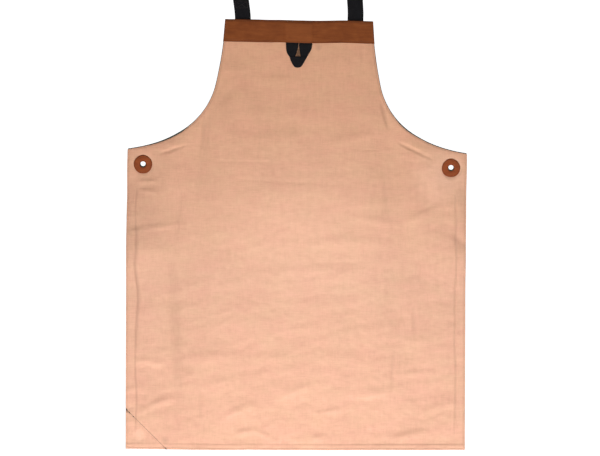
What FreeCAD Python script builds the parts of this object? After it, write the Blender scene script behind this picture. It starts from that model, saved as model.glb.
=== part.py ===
import FreeCAD, Part
import math
import os

import Sketcher

# Butcher apron: a two-layer canvas bib and skirt, a leather band across the bib top, leather
# rings round the two waist holes, a webbing hang loop and an adjustable webbing neck strap.
#
# The apron hangs from the back of the wearer's neck. The frame's origin is the middle of the
# neck strap there, +X is to the right of a person who faces the apron, +Y points away from
# that person, and +Z is up. The flat pieces are laid out in cloth coordinates: x from the
# centre line, y from the plane between the two canvas layers and z from the top of the band.

DIMENSIONS = {
    # where the cloth hangs, from the middle of the strap behind the neck
    "reach": 130.0,
    "drop": 200.0,
    # the cut of the cloth
    "canvas": 0.8,
    "bib_half_width": 151.5,
    "bib_flare": 3.5,
    "arc_upper": 862.0,
    "arc_middle": 152.0,
    "arc_lower": 267.0,
    "turn_upper": 9.0,
    "turn_middle": 46.0,
    "half_width": 350.0,
    "apron_length": 884.0,
    "cloth_top": 3.0,
    "waist_fold": 335.0,
    "fold_gap": 2.5,
    # leather
    "leather": 1.8,
    "band_height": 46.5,
    "band_half_top": 152.5,
    "band_half_bottom": 156.0,
    "washer_radius": 19.0,
    "eyelet_radius": 6.0,
    "eyelet_spread": 317.0,
    "left_eyelet_depth": 301.8,
    "right_eyelet_depth": 300.0,
    "patch_leg": 82.0,
    "patch_inset": 4.0,
    # webbing
    "webbing": 1.5,
    "strap_width": 32.0,
    "strap_spread": 116.0,
    "strap_start": 8.0,
    "strap_sewn": 38.0,
    "strap_straight": 140.0,
    "loop_half_width": 27.0,
    "loop_length": 52.0,
    "loop_clearance": 0.5,
    "loop_sewn": 36.0,
    "eye_top": 8.0,
    "eye_base": 29.0,
    "eye_half_width": 6.0,
    # the neck strap's buckle parts
    "wire": 3.2,
    "wire_radius": 1.6,
    "ring_low": 52.0,
    "ring_high": 63.2,
    "ring_half_width": 20.0,
    "play": 0.15,
    "slider_height": 84.0,
    "slider_half_width": 21.0,
    "slider_half_length": 12.0,
    "slider_front": 2.2,
    "slider_depth": 8.0,
    "slider_bar": 1.2,
    # thread
    "thread": 0.3,
    "row": 0.7,
    "edge_row": 3.5,
    "ring_row": 15.0,
}

doc = FreeCAD.newDocument("butcher_apron")
sheet = doc.addObject("Spreadsheet::Sheet", "Sheet")
for line, (alias, value) in enumerate(DIMENSIONS.items(), start=1):
    sheet.set(f"A{line}", alias)
    sheet.set(f"B{line}", str(value))
    sheet.setAlias(f"B{line}", alias)
doc.recompute()


def cell(alias):
    return float(sheet.get(alias))


CANVAS = cell("canvas")
WEBBING = cell("webbing")
LEATHER = cell("leather")
HALF = cell("half_width")
BAND_LOW = -cell("band_height")
FOLD = -cell("waist_fold")
HEM = -cell("apron_length")
STRAP_X = cell("strap_spread")
STRAP_Y = CANVAS + WEBBING / 2

parts = []


def vector(x, y, z=0.0):
    return FreeCAD.Vector(x, y, z)


# ---------------------------------------------------------------- bodies, sketches and features


def new_body(label, x=0.0, y=0.0, z=0.0):
    """A body whose own origin stands at a place given in cloth coordinates."""
    body = doc.addObject("PartDesign::Body", label)
    body.Label = label
    body.AllowCompound = True
    body.Placement = FreeCAD.Placement(
        vector(x, y - cell("reach"), z - cell("drop")), FreeCAD.Rotation()
    )
    parts.append(body)
    return body


def new_sketch(body, name, role="XZ_Plane"):
    sketch = body.newObject("Sketcher::SketchObject", name)
    plane = next(f for f in body.Origin.OriginFeatures if f.Role == role)
    sketch.AttachmentSupport = [(plane, "")]
    sketch.MapMode = "FlatFace"
    return sketch


def close(sketch, *points):
    """Straight edges through the points, back to the first."""
    for start, end in zip(points, points[1:] + points[:1]):
        sketch.addGeometry(Part.LineSegment(vector(*start), vector(*end)))


def circle(sketch, x, z, radius):
    """A circle whose radius is bound to a cell."""
    index = sketch.addGeometry(Part.Circle(vector(x, z), vector(0, 0, 1), cell(radius)))
    rule = sketch.addConstraint(Sketcher.Constraint("Radius", index, cell(radius)))
    sketch.setExpression(f"Constraints[{rule}]", f"Sheet.{radius}")


def rectangle(sketch, width, height):
    """A rectangle round the sketch's origin, its two sizes bound to cells."""
    x, z = cell(width) / 2, cell(height) / 2
    first = sketch.GeometryCount
    close(sketch, (-x, -z), (x, -z), (x, z), (-x, z))
    for k in range(4):
        after = first + (k + 1) % 4
        sketch.addConstraint(Sketcher.Constraint("Coincident", first + k, 2, after, 1))
        lie = "Horizontal" if k % 2 == 0 else "Vertical"
        sketch.addConstraint(Sketcher.Constraint(lie, first + k))
    sketch.addConstraint(Sketcher.Constraint("Symmetric", first, 1, first + 2, 1, -1, 1))
    for edge, kind, size in ((first, "DistanceX", width), (first + 1, "DistanceY", height)):
        rule = sketch.addConstraint(Sketcher.Constraint(kind, edge, 1, edge, 2, cell(size)))
        sketch.setExpression(f"Constraints[{rule}]", f"Sheet.{size}")


def pad(body, sketch, length, backwards=False, both_ways=False):
    """A pad of an XZ sketch grows towards -Y, or towards +Y if it goes backwards."""
    feature = body.newObject("PartDesign::Pad", f"{sketch.Name}_pad")
    feature.Profile = sketch
    feature.setExpression("Length", length)
    feature.Reversed = backwards
    if both_ways:
        feature.SideType = "Symmetric"
    return feature


# ---------------------------------------------------------------- the outline of the cloth


class Armhole:
    """Three arcs, each tangent to the next, from the bib's top corner to the waist corner.

    Their centres lie outside the cloth, so a line that runs inside the edge has larger radii.
    """

    def __init__(self):
        names = ("arc_upper", "arc_middle", "arc_lower")
        self.radii = [cell(name) for name in names]
        flare = math.radians(cell("bib_flare"))
        self.turns = [flare, flare + math.radians(cell("turn_upper"))]
        self.turns.append(self.turns[1] + math.radians(cell("turn_middle")))
        x = cell("bib_half_width") + self.radii[0] * math.cos(flare)
        z = self.radii[0] * math.sin(flare)
        self.centres = [(x, z)]
        for k in (1, 2):
            step = self.radii[k] - self.radii[k - 1]
            x += step * math.cos(self.turns[k])
            z += step * math.sin(self.turns[k])
            self.centres.append((x, z))

    def point(self, arc, turn, inset):
        x, z = self.centres[arc]
        radius = self.radii[arc] + inset
        return x - radius * math.cos(turn), z - radius * math.sin(turn)

    def turn_at_height(self, z, inset):
        """Where the upper arc passes a height."""
        return math.asin((self.centres[0][1] - z) / (self.radii[0] + inset))

    def last_turn(self, inset):
        """Where the lower arc meets the side edge."""
        return math.acos((self.centres[2][0] - HALF + inset) / (self.radii[2] + inset))

    def edges(self, top, inset, side):
        """The arcs as (start, middle, end) points, from height top to the side edge."""
        ends = [self.turn_at_height(top, inset), *self.turns[1:], self.last_turn(inset)]
        found = []
        for arc in range(3):
            places = (ends[arc], (ends[arc] + ends[arc + 1]) / 2, ends[arc + 1])
            triple = [self.point(arc, turn, inset) for turn in places]
            found.append([(side * x, z) for x, z in triple])
        return found


armhole = Armhole()


def draw_armhole(sketch, top, inset, side):
    """Draws one armhole and returns its top and bottom points."""
    arcs = armhole.edges(top, inset, side)
    for triple in arcs:
        sketch.addGeometry(Part.Arc(*(vector(*p) for p in triple)))
    return arcs[0][0], arcs[-1][-1]


def join(sketch, *points):
    """Straight edges through the points, left open."""
    for start, end in zip(points, points[1:]):
        sketch.addGeometry(Part.LineSegment(vector(*start), vector(*end)))


# ---------------------------------------------------------------- canvas


def eyelet(side):
    """The middle of a waist hole, as (x, z). The two aren't quite level."""
    depth = "left_eyelet_depth" if side < 0 else "right_eyelet_depth"
    return side * cell("eyelet_spread"), -cell(depth)


def bib_layer(label, back):
    """One canvas layer of the bib, from inside the band to the fold at the waist."""
    body = new_body(label, y=back)
    sketch = new_sketch(body, f"{label}_outline")
    low = FOLD + cell("fold_gap")
    top_right, waist_right = draw_armhole(sketch, -cell("cloth_top"), 0.0, 1)
    top_left, waist_left = draw_armhole(sketch, -cell("cloth_top"), 0.0, -1)
    join(sketch, waist_right, (HALF, low), (-HALF, low), waist_left)
    join(sketch, top_left, top_right)
    for side in (-1, 1):
        circle(sketch, *eyelet(side), "eyelet_radius")
    pad(body, sketch, "Sheet.canvas")


def skirt_layer(label, back):
    """One canvas layer of the skirt, from the fold at the waist to the hem."""
    body = new_body(label, y=back)
    sketch = new_sketch(body, f"{label}_outline")
    top = FOLD - cell("fold_gap")
    close(sketch, (-HALF, HEM), (HALF, HEM), (HALF, top), (-HALF, top))
    pad(body, sketch, "Sheet.canvas")


bib_layer("bib_face", 0.0)
bib_layer("bib_back", CANVAS)
skirt_layer("skirt_face", 0.0)
skirt_layer("skirt_back", CANVAS)

# ---------------------------------------------------------------- leather


def band(label, back):
    """One of the two leather strips that hold the bib's top edge and the webbing ends."""
    body = new_body(label, y=back)
    sketch = new_sketch(body, f"{label}_outline")
    top, low = cell("band_half_top"), cell("band_half_bottom")
    close(sketch, (-low, BAND_LOW), (low, BAND_LOW), (top, 0.0), (-top, 0.0))
    pad(body, sketch, "Sheet.leather")


def washer(label, side):
    """The leather ring that is sewn round a waist hole."""
    x, z = eyelet(side)
    body = new_body(label, x, -CANVAS, z)
    sketch = new_sketch(body, f"{label}_outline")
    circle(sketch, 0.0, 0.0, "washer_radius")
    circle(sketch, 0.0, 0.0, "eyelet_radius")
    pad(body, sketch, "Sheet.leather")


def corner_patch():
    """The leather triangle behind the lower corner on the left."""
    body = new_body("corner_patch", -HALF, CANVAS + LEATHER, HEM)
    sketch = new_sketch(body, "corner_patch_outline")
    inset, leg = cell("patch_inset"), cell("patch_leg")
    close(sketch, (inset, inset), (leg - inset, inset), (inset, leg - inset))
    pad(body, sketch, "Sheet.leather")


band("band_front", -CANVAS - WEBBING)
band("band_back", CANVAS + WEBBING + LEATHER)
washer("left_washer", -1)
washer("right_washer", 1)
corner_patch()

# ---------------------------------------------------------------- webbing sewn inside the band


def sewn_end(label, x, back, half_width, length):
    """A flat end of webbing between the canvas and a leather strip."""
    body = new_body(label, x, back)
    sketch = new_sketch(body, f"{label}_outline")
    top = BAND_LOW / 2 + length / 2
    low = top - length
    close(sketch, (-half_width, low), (half_width, low), (half_width, top), (-half_width, top))
    pad(body, sketch, "Sheet.webbing")


STRAP_HALF = cell("strap_width") / 2
sewn_end("left_strap_end", -STRAP_X, CANVAS + WEBBING, STRAP_HALF, cell("strap_sewn"))
sewn_end("right_strap_end", STRAP_X, CANVAS + WEBBING, STRAP_HALF, cell("strap_sewn"))
sewn_end("hang_loop_end", 0.0, -CANVAS, cell("loop_half_width"), cell("loop_sewn"))

# ---------------------------------------------------------------- the hang loop


def hang_loop():
    """A V of webbing: two legs side by side that meet in a folded point below the eye."""
    body = new_body("hang_loop", y=-CANVAS - cell("loop_clearance"), z=BAND_LOW)
    width, length = cell("loop_half_width"), cell("loop_length")
    base, eye = -cell("eye_base"), cell("eye_half_width")
    start, shoulder, tip = -2.0, -length / 4, length / 7

    def side_at(z):
        """Half the loop's width below its shoulders."""
        share = (z - shoulder) / (tip - length - shoulder)
        return width + share * (tip - width)

    legs = new_sketch(body, "legs")
    close(legs, (-eye, base), (eye, base), (0.0, -cell("eye_top")))
    outline = ((width, shoulder), (width, start), (-width, start), (-width, shoulder))
    join(legs, (tip, tip - length), *outline, (-tip, tip - length))
    legs.addGeometry(
        Part.Arc(vector(-tip, tip - length), vector(0, -length), vector(tip, tip - length))
    )
    pad(body, legs, "Sheet.webbing")
    fold = new_sketch(body, "fold")
    edge = side_at(base)
    join(fold, (tip, tip - length), (edge, base), (-edge, base), (-tip, tip - length))
    fold.addGeometry(
        Part.Arc(vector(-tip, tip - length), vector(0, -length), vector(tip, tip - length))
    )
    pad(body, fold, "2 * Sheet.webbing")


hang_loop()

# ---------------------------------------------------------------- the neck strap


def arch(share):
    """The strap's centre line on the right, from the top of its straight run (share 0) to the
    back of the neck (share 1), and the direction it goes in there: one cubic Bezier curve."""
    height, straight = cell("drop"), cell("strap_straight")
    poles = [
        vector(STRAP_X, STRAP_Y, straight),
        vector(STRAP_X, STRAP_Y, height + 10),
        vector(0.7 * STRAP_X, cell("reach"), height + 4),
        vector(0, cell("reach"), height),
    ]
    rest = 1 - share
    weights = (rest**3, 3 * share * rest**2, 3 * share**2 * rest, share**3)
    slopes = (-3 * rest**2, 3 * rest**2 - 6 * share * rest, 6 * share * rest - 3 * share**2, 3 * share**2)
    place = sum((p * w for p, w in zip(poles, weights)), vector(0, 0))
    heading = sum((p * w for p, w in zip(poles, slopes)), vector(0, 0))
    return place, heading.normalize()


def facing(share, heading):
    """The strap's outer side: forwards at the chest, up on the shoulder, back at the neck."""
    turn = math.pi * share
    wanted = vector(0.45 * math.sin(turn), -math.cos(turn), 0.9 * math.sin(turn))
    return (wanted - heading * wanted.dot(heading)).normalize()


def stations():
    """(place, heading, outer side) down the whole strap, from the right end to the ring."""
    up, forwards, steps = vector(0, 0, 1), vector(0, -1), 12
    right = [(vector(STRAP_X, STRAP_Y, cell("strap_start")), up, forwards)]
    for k in range(steps + 1):
        place, heading = arch(k / steps)
        right.append((place, heading, facing(k / steps, heading)))

    def mirrored(station):
        place, heading, outer = station
        return (
            vector(-place.x, place.y, place.z),
            vector(heading.x, -heading.y, -heading.z),
            vector(-outer.x, outer.y, outer.z),
        )

    left = [mirrored(station) for station in reversed(right[1:-1])]
    left.append((vector(-STRAP_X, STRAP_Y, cell("ring_high") + 3), -up, forwards))
    return right + left


def neck_strap():
    body = new_body("neck_strap")
    sections = []
    for k, (place, heading, outer) in enumerate(stations()):
        sketch = body.newObject("Sketcher::SketchObject", f"strap_section_{k:02d}")
        turned = FreeCAD.Rotation(outer.cross(heading), outer, heading, "ZYX")
        sketch.Placement = FreeCAD.Placement(place, turned)
        rectangle(sketch, "strap_width", "webbing")
        sections.append(sketch)
    loft = body.newObject("PartDesign::AdditiveLoft", "strap_loft")
    loft.Profile = sections[0]
    loft.Sections = sections[1:]
    loft.Ruled = True


def folded_webbing(label, centre, bar, front_end, back_end, half_turn):
    """Webbing that goes round a bar along X: two legs and the bend between them.

    centre is (y, z) of the bar. The bend is above the bar if half_turn is 1, and below it if
    half_turn is -1. The two ends are heights.
    """
    body = new_body(label, x=-STRAP_X)
    sketch = new_sketch(body, f"{label}_profile", "YZ_Plane")
    y, z = centre
    near = bar + cell("play")
    far = near + WEBBING
    join(sketch, (y - far, z), (y - far, front_end), (y - near, front_end), (y - near, z))
    join(sketch, (y + far, z), (y + far, back_end), (y + near, back_end), (y + near, z))
    for radius in (near, far):
        bend = vector(y, z + half_turn * radius)
        sketch.addGeometry(Part.Arc(vector(y - radius, z), bend, vector(y + radius, z)))
    pad(body, sketch, "Sheet.strap_width", both_ways=True)


RING_Y = CANVAS + WEBBING + cell("play") + cell("wire_radius")
SLIDER_Z = cell("slider_height")
SLIDER_LOW = SLIDER_Z - cell("slider_half_length")
SLIDER_BAR_Y = CANVAS + 2 * WEBBING + 0.25 + cell("play") + cell("slider_bar")


def rounded_frame(sketch, half_width, half_length, corner):
    """A rectangle with round corners, centred on the sketch's origin."""
    for x, z in ((1, 1), (-1, 1), (-1, -1), (1, -1)):
        cx, cz = x * (half_width - corner), z * (half_length - corner)
        slant = corner / math.sqrt(2)
        ends = (vector(cx + x * corner, cz), vector(cx, cz + z * corner))
        sketch.addGeometry(Part.Arc(ends[0], vector(cx + x * slant, cz + z * slant), ends[1]))
    for z in (-half_length, half_length):
        join(sketch, (corner - half_width, z), (half_width - corner, z))
    for x in (-half_width, half_width):
        join(sketch, (x, corner - half_length), (x, half_length - corner))


def strap_ring():
    """The rectangular ring that joins the short tab to the long strap."""
    wire = cell("wire")
    low, high = cell("ring_low"), cell("ring_high")
    body = new_body("strap_ring", -STRAP_X, RING_Y + wire / 2, (low + high) / 2)
    sketch = new_sketch(body, "ring_outline")
    half_length = (high - low) / 2 + wire / 2
    rounded_frame(sketch, cell("ring_half_width"), half_length, 3.6)
    rounded_frame(sketch, cell("ring_half_width") - wire, half_length - wire, 0.6)
    ring = pad(body, sketch, "Sheet.wire")
    doc.recompute()
    fillet = body.newObject("PartDesign::Fillet", "ring_rounding")
    flat_edges = [
        f"Edge{k}"
        for k, edge in enumerate(ring.Shape.Edges, start=1)
        if edge.BoundBox.YLength < 0.01
    ]
    fillet.Base = (ring, flat_edges)
    fillet.setExpression("Radius", "0.45 * Sheet.wire_radius * 2")


def strap_slider():
    """A tri-glide slider: two bars in front of the strap, and one behind it for the sewn end."""
    front = CANVAS - 0.2
    body = new_body("strap_slider", -STRAP_X, front, SLIDER_Z)
    half, length = cell("slider_half_width"), cell("slider_half_length")
    opening = STRAP_HALF + 0.7
    frame = new_sketch(body, "slider_frame")
    rounded_frame(frame, half, length, 3.0)
    rounded_frame(frame, opening, length - 4.0, 0.5)
    pad(body, frame, "Sheet.slider_front")
    cheeks = new_sketch(body, "slider_cheeks")
    for x in (-1, 1):
        close(cheeks, (x * opening, -5.0), (x * half, -5.0), (x * half, 5.0), (x * opening, 5.0))
    pad(body, cheeks, "Sheet.slider_depth - Sheet.slider_front", backwards=True)
    bar = new_sketch(body, "slider_bar_end", "YZ_Plane")
    circle(bar, SLIDER_BAR_Y - front, 0.0, "slider_bar")
    bridge = pad(body, bar, "2 * Sheet.slider_half_width - 2", both_ways=True)
    doc.recompute()
    fillet = body.newObject("PartDesign::Fillet", "slider_rounding")
    rim = [
        f"Edge{k}"
        for k, edge in enumerate(bridge.Shape.Edges, start=1)
        if edge.BoundBox.YMax < -cell("slider_front") + 0.01 and edge.BoundBox.YLength < 0.01
    ]
    fillet.Base = (bridge, rim)
    fillet.Radius = 0.8


neck_strap()
folded_webbing(
    "strap_tab", (RING_Y, cell("ring_low")), cell("wire_radius"), cell("strap_start"), 22.0, 1
)
folded_webbing(
    "strap_fold",
    (RING_Y, cell("ring_high")),
    cell("wire_radius"),
    cell("ring_high") + 3,
    SLIDER_LOW - 3,
    -1,
)
folded_webbing(
    "slider_loop",
    (SLIDER_BAR_Y, SLIDER_Z),
    cell("slider_bar"),
    SLIDER_Z - 7,
    SLIDER_LOW,
    1,
)
strap_ring()
strap_slider()

# ---------------------------------------------------------------- thread

ROW = cell("row")


def trapezoid(sketch, inset):
    top, low = cell("band_half_top") - inset, cell("band_half_bottom") - inset
    close(sketch, (-low, BAND_LOW + inset), (low, BAND_LOW + inset), (top, -inset), (-top, -inset))


def band_stitching():
    """The row round the edge of the leather band."""
    body = new_body("band_stitching", y=-CANVAS - WEBBING - LEATHER)
    sketch = new_sketch(body, "band_row")
    trapezoid(sketch, cell("edge_row"))
    trapezoid(sketch, cell("edge_row") + ROW)
    pad(body, sketch, "Sheet.thread")


def washer_stitching(label, side):
    """The round row that holds a leather ring."""
    x, z = eyelet(side)
    body = new_body(label, x, -CANVAS - LEATHER, z)
    sketch = new_sketch(body, f"{label}_row")
    circle(sketch, 0.0, 0.0, "ring_row")
    inner = Part.Circle(vector(0, 0), vector(0, 0, 1), cell("ring_row") - ROW)
    sketch.addGeometry(inner)
    pad(body, sketch, "Sheet.thread")


def bib_edge_stitching():
    """The row down each armhole and side edge of the bib."""
    body = new_body("bib_edge_stitching", y=-CANVAS)
    sketch = new_sketch(body, "bib_row")
    low = FOLD + cell("fold_gap")
    near, far = cell("edge_row"), cell("edge_row") + ROW
    for side in (-1, 1):
        tops, ends = [], []
        for inset in (near, far):
            top, waist = draw_armhole(sketch, BAND_LOW - 1, inset, side)
            tops.append(top)
            ends.append((side * (HALF - inset), low))
            join(sketch, waist, ends[-1])
        join(sketch, *tops)
        join(sketch, *ends)
    pad(body, sketch, "Sheet.thread")


def skirt_edge_stitching():
    """The row down the skirt's sides and along its hem."""
    body = new_body("skirt_edge_stitching", y=-CANVAS)
    sketch = new_sketch(body, "skirt_row")
    top, near = FOLD - cell("fold_gap"), cell("edge_row")
    rows = []
    for inset in (near, near + ROW):
        x, low = HALF - inset, HEM + inset
        rows.append([(-x, top), (-x, low), (x, low), (x, top)])
    close(sketch, *rows[0], *reversed(rows[1]))
    pad(body, sketch, "Sheet.thread")


def corner_stitching():
    """The slanting row that holds the corner patch, where it shows on the face."""
    body = new_body("corner_stitching", -HALF, -CANVAS, HEM)
    sketch = new_sketch(body, "corner_row")
    low = cell("edge_row") + 2 * ROW
    leg = cell("patch_leg") - 2
    close(sketch, (leg - low, low), (leg - low + ROW, low), (low, leg - low + ROW), (low, leg - low))
    pad(body, sketch, "Sheet.thread")


def tacks(label, places, y, backwards=False):
    """Box-shaped tacks through webbing, each (x, z) a centre."""
    body = new_body(label, y=y)
    sketch = new_sketch(body, f"{label}_rows")
    for x, z in places:
        for inset in (0.0, ROW):
            a, b = 12.0 - inset, 7.0 - inset
            close(sketch, (x - a, z - b), (x + a, z - b), (x + a, z + b), (x - a, z + b))
    pad(body, sketch, "Sheet.thread", backwards=backwards)


band_stitching()
washer_stitching("left_washer_stitching", -1)
washer_stitching("right_washer_stitching", 1)
bib_edge_stitching()
skirt_edge_stitching()
corner_stitching()
sewn_in = [(side * STRAP_X, BAND_LOW / 2) for side in (-1, 1)]
tacks("strap_end_tacks", sewn_in, CANVAS + WEBBING + LEATHER, backwards=True)
tacks("tab_tack", [(-STRAP_X, 34.0)], CANVAS)

# ---------------------------------------------------------------- checks and files

doc.recompute()
for thing in doc.Objects:
    if {"Invalid", "Error"} & set(thing.State):
        raise RuntimeError(f"{thing.Label} failed: {thing.State}")
os.makedirs("parts", exist_ok=True)
for piece in parts:
    shape = piece.Shape
    if shape.isNull() or not shape.isValid() or shape.Volume <= 0:
        raise RuntimeError(f"{piece.Label} has no valid shape")
    shape.exportStep(f"parts/{piece.Label}.step")
    print(f"{piece.Label}: {len(shape.Solids)} solid, {shape.Volume / 1000:.2f} cm3")
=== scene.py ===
import math

import bpy
import numpy as np
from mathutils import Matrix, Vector
from mathutils.kdtree import KDTree


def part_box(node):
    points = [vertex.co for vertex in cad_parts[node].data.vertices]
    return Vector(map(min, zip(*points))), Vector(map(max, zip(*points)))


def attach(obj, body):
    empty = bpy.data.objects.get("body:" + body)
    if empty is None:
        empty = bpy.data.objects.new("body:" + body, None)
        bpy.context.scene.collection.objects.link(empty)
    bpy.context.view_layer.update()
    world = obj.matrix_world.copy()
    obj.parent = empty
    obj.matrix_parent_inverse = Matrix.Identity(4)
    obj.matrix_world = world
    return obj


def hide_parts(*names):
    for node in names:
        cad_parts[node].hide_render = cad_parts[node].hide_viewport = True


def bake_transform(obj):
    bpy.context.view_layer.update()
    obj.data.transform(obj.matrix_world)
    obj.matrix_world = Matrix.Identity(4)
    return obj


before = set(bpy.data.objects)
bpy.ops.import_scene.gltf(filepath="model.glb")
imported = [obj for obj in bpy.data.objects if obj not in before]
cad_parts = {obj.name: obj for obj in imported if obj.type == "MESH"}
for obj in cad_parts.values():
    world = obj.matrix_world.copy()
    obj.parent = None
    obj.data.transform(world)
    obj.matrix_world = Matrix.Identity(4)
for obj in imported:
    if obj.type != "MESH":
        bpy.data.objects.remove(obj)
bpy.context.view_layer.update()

# A butcher apron that hangs from its neck strap: two layers of canvas, leather trim, webbing and
# thread. Shapes are worked out in cloth coordinates, in millimetres: x from the centre line,
# y from the plane between the two canvas layers (negative towards the viewer), and z from the
# top of the leather band. place() turns them into the frame's metres.

MM = 0.001
CLOTH_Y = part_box("bib_face")[1][1]
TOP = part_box("band_front")[1][2]
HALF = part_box("skirt_face")[1][0] / MM
HEM = (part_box("skirt_face")[0][2] - TOP) / MM
BAND_LOW = (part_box("band_front")[0][2] - TOP) / MM
FOLD = (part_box("skirt_face")[1][2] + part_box("bib_face")[0][2] - 2 * TOP) / (2 * MM)
NECK_Y = -CLOTH_Y / MM
NECK_Z = -TOP / MM

BAND_HALF_TOP, BAND_HALF_LOW = 152.5, 156.0
CANVAS, LEATHER, WEBBING = 0.8, 1.8, 1.5
STRAP_X, STRAP_WIDTH = 116.0, 32.0
STRAP_Y = CANVAS + WEBBING / 2
EYELETS = ((-317.0, -301.8), (317.0, -300.0))
EYELET_RADIUS, WASHER_RADIUS = 6.0, 19.0
PATCH_LEG = 82.0
EDGE_ROW = 3.5
LEAN = math.radians(0.65)
LEAN_FOOT, LEAN_FULL = -600.0, -330.0


def smooth(value, low, high):
    """0 below low, 1 above high, and a smooth step between them."""
    t = np.clip((np.asarray(value, float) - low) / (high - low), 0, 1)
    return t * t * (3 - 2 * t)


def leaned(points):
    """The bib hangs a little clockwise of the skirt. The turn fades out down the skirt, and up
    the straps: on the left below the ring, on the right over a longer stretch."""
    x, y, z = np.asarray(points, float).T
    t = np.clip((z - LEAN_FOOT) / (LEAN_FULL - LEAN_FOOT), 0, 1)
    gained = (LEAN_FULL - LEAN_FOOT) * (t**3 - t**4 / 2) + np.clip(z, LEAN_FULL, 0) - LEAN_FULL
    fade = 1 - smooth(z, 0, np.where(x < 0, 60, 150))
    turn = LEAN * smooth(z, LEAN_FOOT, LEAN_FULL) * fade
    return np.stack([x + LEAN * gained * fade, y, z - x * turn], 1)


def place(points):
    """Cloth coordinates in millimetres to the frame's metres."""
    return leaned(points) * MM + np.array([0.0, CLOTH_Y, TOP])


def bump(value, centre, width):
    """1 at the centre, and a smooth fall to both sides."""
    return np.exp(-(((np.asarray(value, float) - centre) / width) ** 2))


def rounded(away, reach):
    """The quarter round of a worn edge: 0 at the edge, 1 from reach inwards."""
    return np.sqrt(np.clip(1 - (1 - np.clip(away / reach, 0, 1)) ** 2, 0, 1))


def unit(vectors):
    return vectors / np.linalg.norm(vectors, axis=1, keepdims=True)


def distance_along(path):
    """How far along the path each of its points is."""
    gaps = np.linalg.norm(np.diff(path, axis=0), axis=1)
    return np.concatenate([[0], np.cumsum(gaps)])


# ---------------------------------------------------------------- meshes


def mesh_object(name, points, faces, material, flat=None, edge=50.0, wear_and_shade=None):
    """A smooth-shaded mesh from cloth coordinates. flat is each vertex's place on the material
    before it was sewn, in millimetres, which the weaves and grains follow, edge is how far it
    is from the material's cut or turned edge, and the last argument is how much rubbing and polish
    it has, with painted shade added along the canvas's creases, seams and stitch rows."""
    mesh = bpy.data.meshes.new(name)
    mesh.from_pydata(place(points).tolist(), [], [tuple(f) for f in faces])
    mesh.update()
    mesh.polygons.foreach_set("use_smooth", [True] * len(mesh.polygons))
    if flat is None:
        flat = np.asarray(points)[:, [0, 2]]
    layer = mesh.attributes.new("flat", "FLOAT_VECTOR", "POINT")
    values = np.zeros((len(points), 3), np.float32)
    values[:, :2] = np.asarray(flat) * MM
    values[:, 2] = np.asarray(edge) * MM
    layer.data.foreach_set("vector", values.ravel())
    # this attribute holds rubbing and polish, and on the canvas also the painted shade along its
    # creases, seams and stitch rows
    if wear_and_shade is not None:
        layer = mesh.attributes.new("wear_and_shade", "FLOAT", "POINT")
        layer.data.foreach_set("value", np.asarray(wear_and_shade, np.float32))
    obj = bpy.data.objects.new(name, mesh)
    bpy.context.scene.collection.objects.link(obj)
    mesh.materials.append(material)
    return obj


def distinct(values):
    """The values in order, with those that differ only by rounding taken once."""
    return np.unique(np.round(values, 6))


def grid_quads(rows, columns):
    """The quads of a grid whose points are stored row by row, from the top left as seen."""
    r, c = np.meshgrid(np.arange(rows - 1), np.arange(columns - 1), indexing="ij")
    first = (r * columns + c).ravel()
    return np.stack([first, first + columns, first + columns + 1, first + 1], axis=1)


def tube_quads(rings, around, start=0, closed=False):
    """The quads between neighbouring rings of points, and from the last ring back to the first
    if closed. The first point is number start."""
    faces = []
    for k in range(rings if closed else rings - 1):
        a, b = start + k * around, start + (k + 1) % rings * around
        for i in range(around):
            j = (i + 1) % around
            faces.append((a + i, a + j, b + j, b + i))
    return faces


def capped_tube(rings, around, start=0):
    """A tube's quads, with one face over each end."""
    last = start + (rings - 1) * around
    near_end = tuple(range(start, start + around))[::-1]
    return tube_quads(rings, around, start) + [near_end, tuple(range(last, last + around))]


def thick_sheet(front, back, side, quads=None):
    """One closed mesh from two grids of points: the outer face, the hidden one, and a rim along
    every open edge. side is -1 where the outer face looks at the viewer, and 1 where it looks
    away. quads are the ones that are left of the grid. Returns which points were used, too."""
    if quads is None:
        quads = grid_quads(*front.shape[:2])
    if side > 0:
        quads = quads[:, ::-1]
    front, back = front.reshape(-1, 3), back.reshape(-1, 3)
    used, same = np.unique(quads, return_inverse=True)
    quads = same.reshape(quads.shape)
    edges = np.concatenate([quads[:, [k, (k + 1) % 4]] for k in range(4)])
    ends = np.sort(edges, axis=1)
    _, first, uses = np.unique(ends, axis=0, return_index=True, return_counts=True)
    rim = edges[first[uses == 1]]
    count = len(used)
    sides = np.stack([rim[:, 1], rim[:, 0], rim[:, 0] + count, rim[:, 1] + count], axis=1)
    faces = np.concatenate([quads, quads[:, ::-1] + count, sides])
    return np.concatenate([front[used], back[used]]), faces, used


# the share of a hidden face's vertices that is kept
THINNED_TO = 0.60


def thin_out(obj, hidden):
    """Takes most vertices out of a face that can't be seen, between two layers of cloth."""
    group = obj.vertex_groups.new(name="hidden")
    group.add(hidden, 1.0, "REPLACE")
    thin = obj.modifiers.new("thin", "DECIMATE")
    thin.vertex_group = group.name
    thin.ratio = THINNED_TO
    bpy.context.view_layer.objects.active = obj
    bpy.ops.object.modifier_apply(modifier=thin.name)
    obj.vertex_groups.clear()


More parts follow.
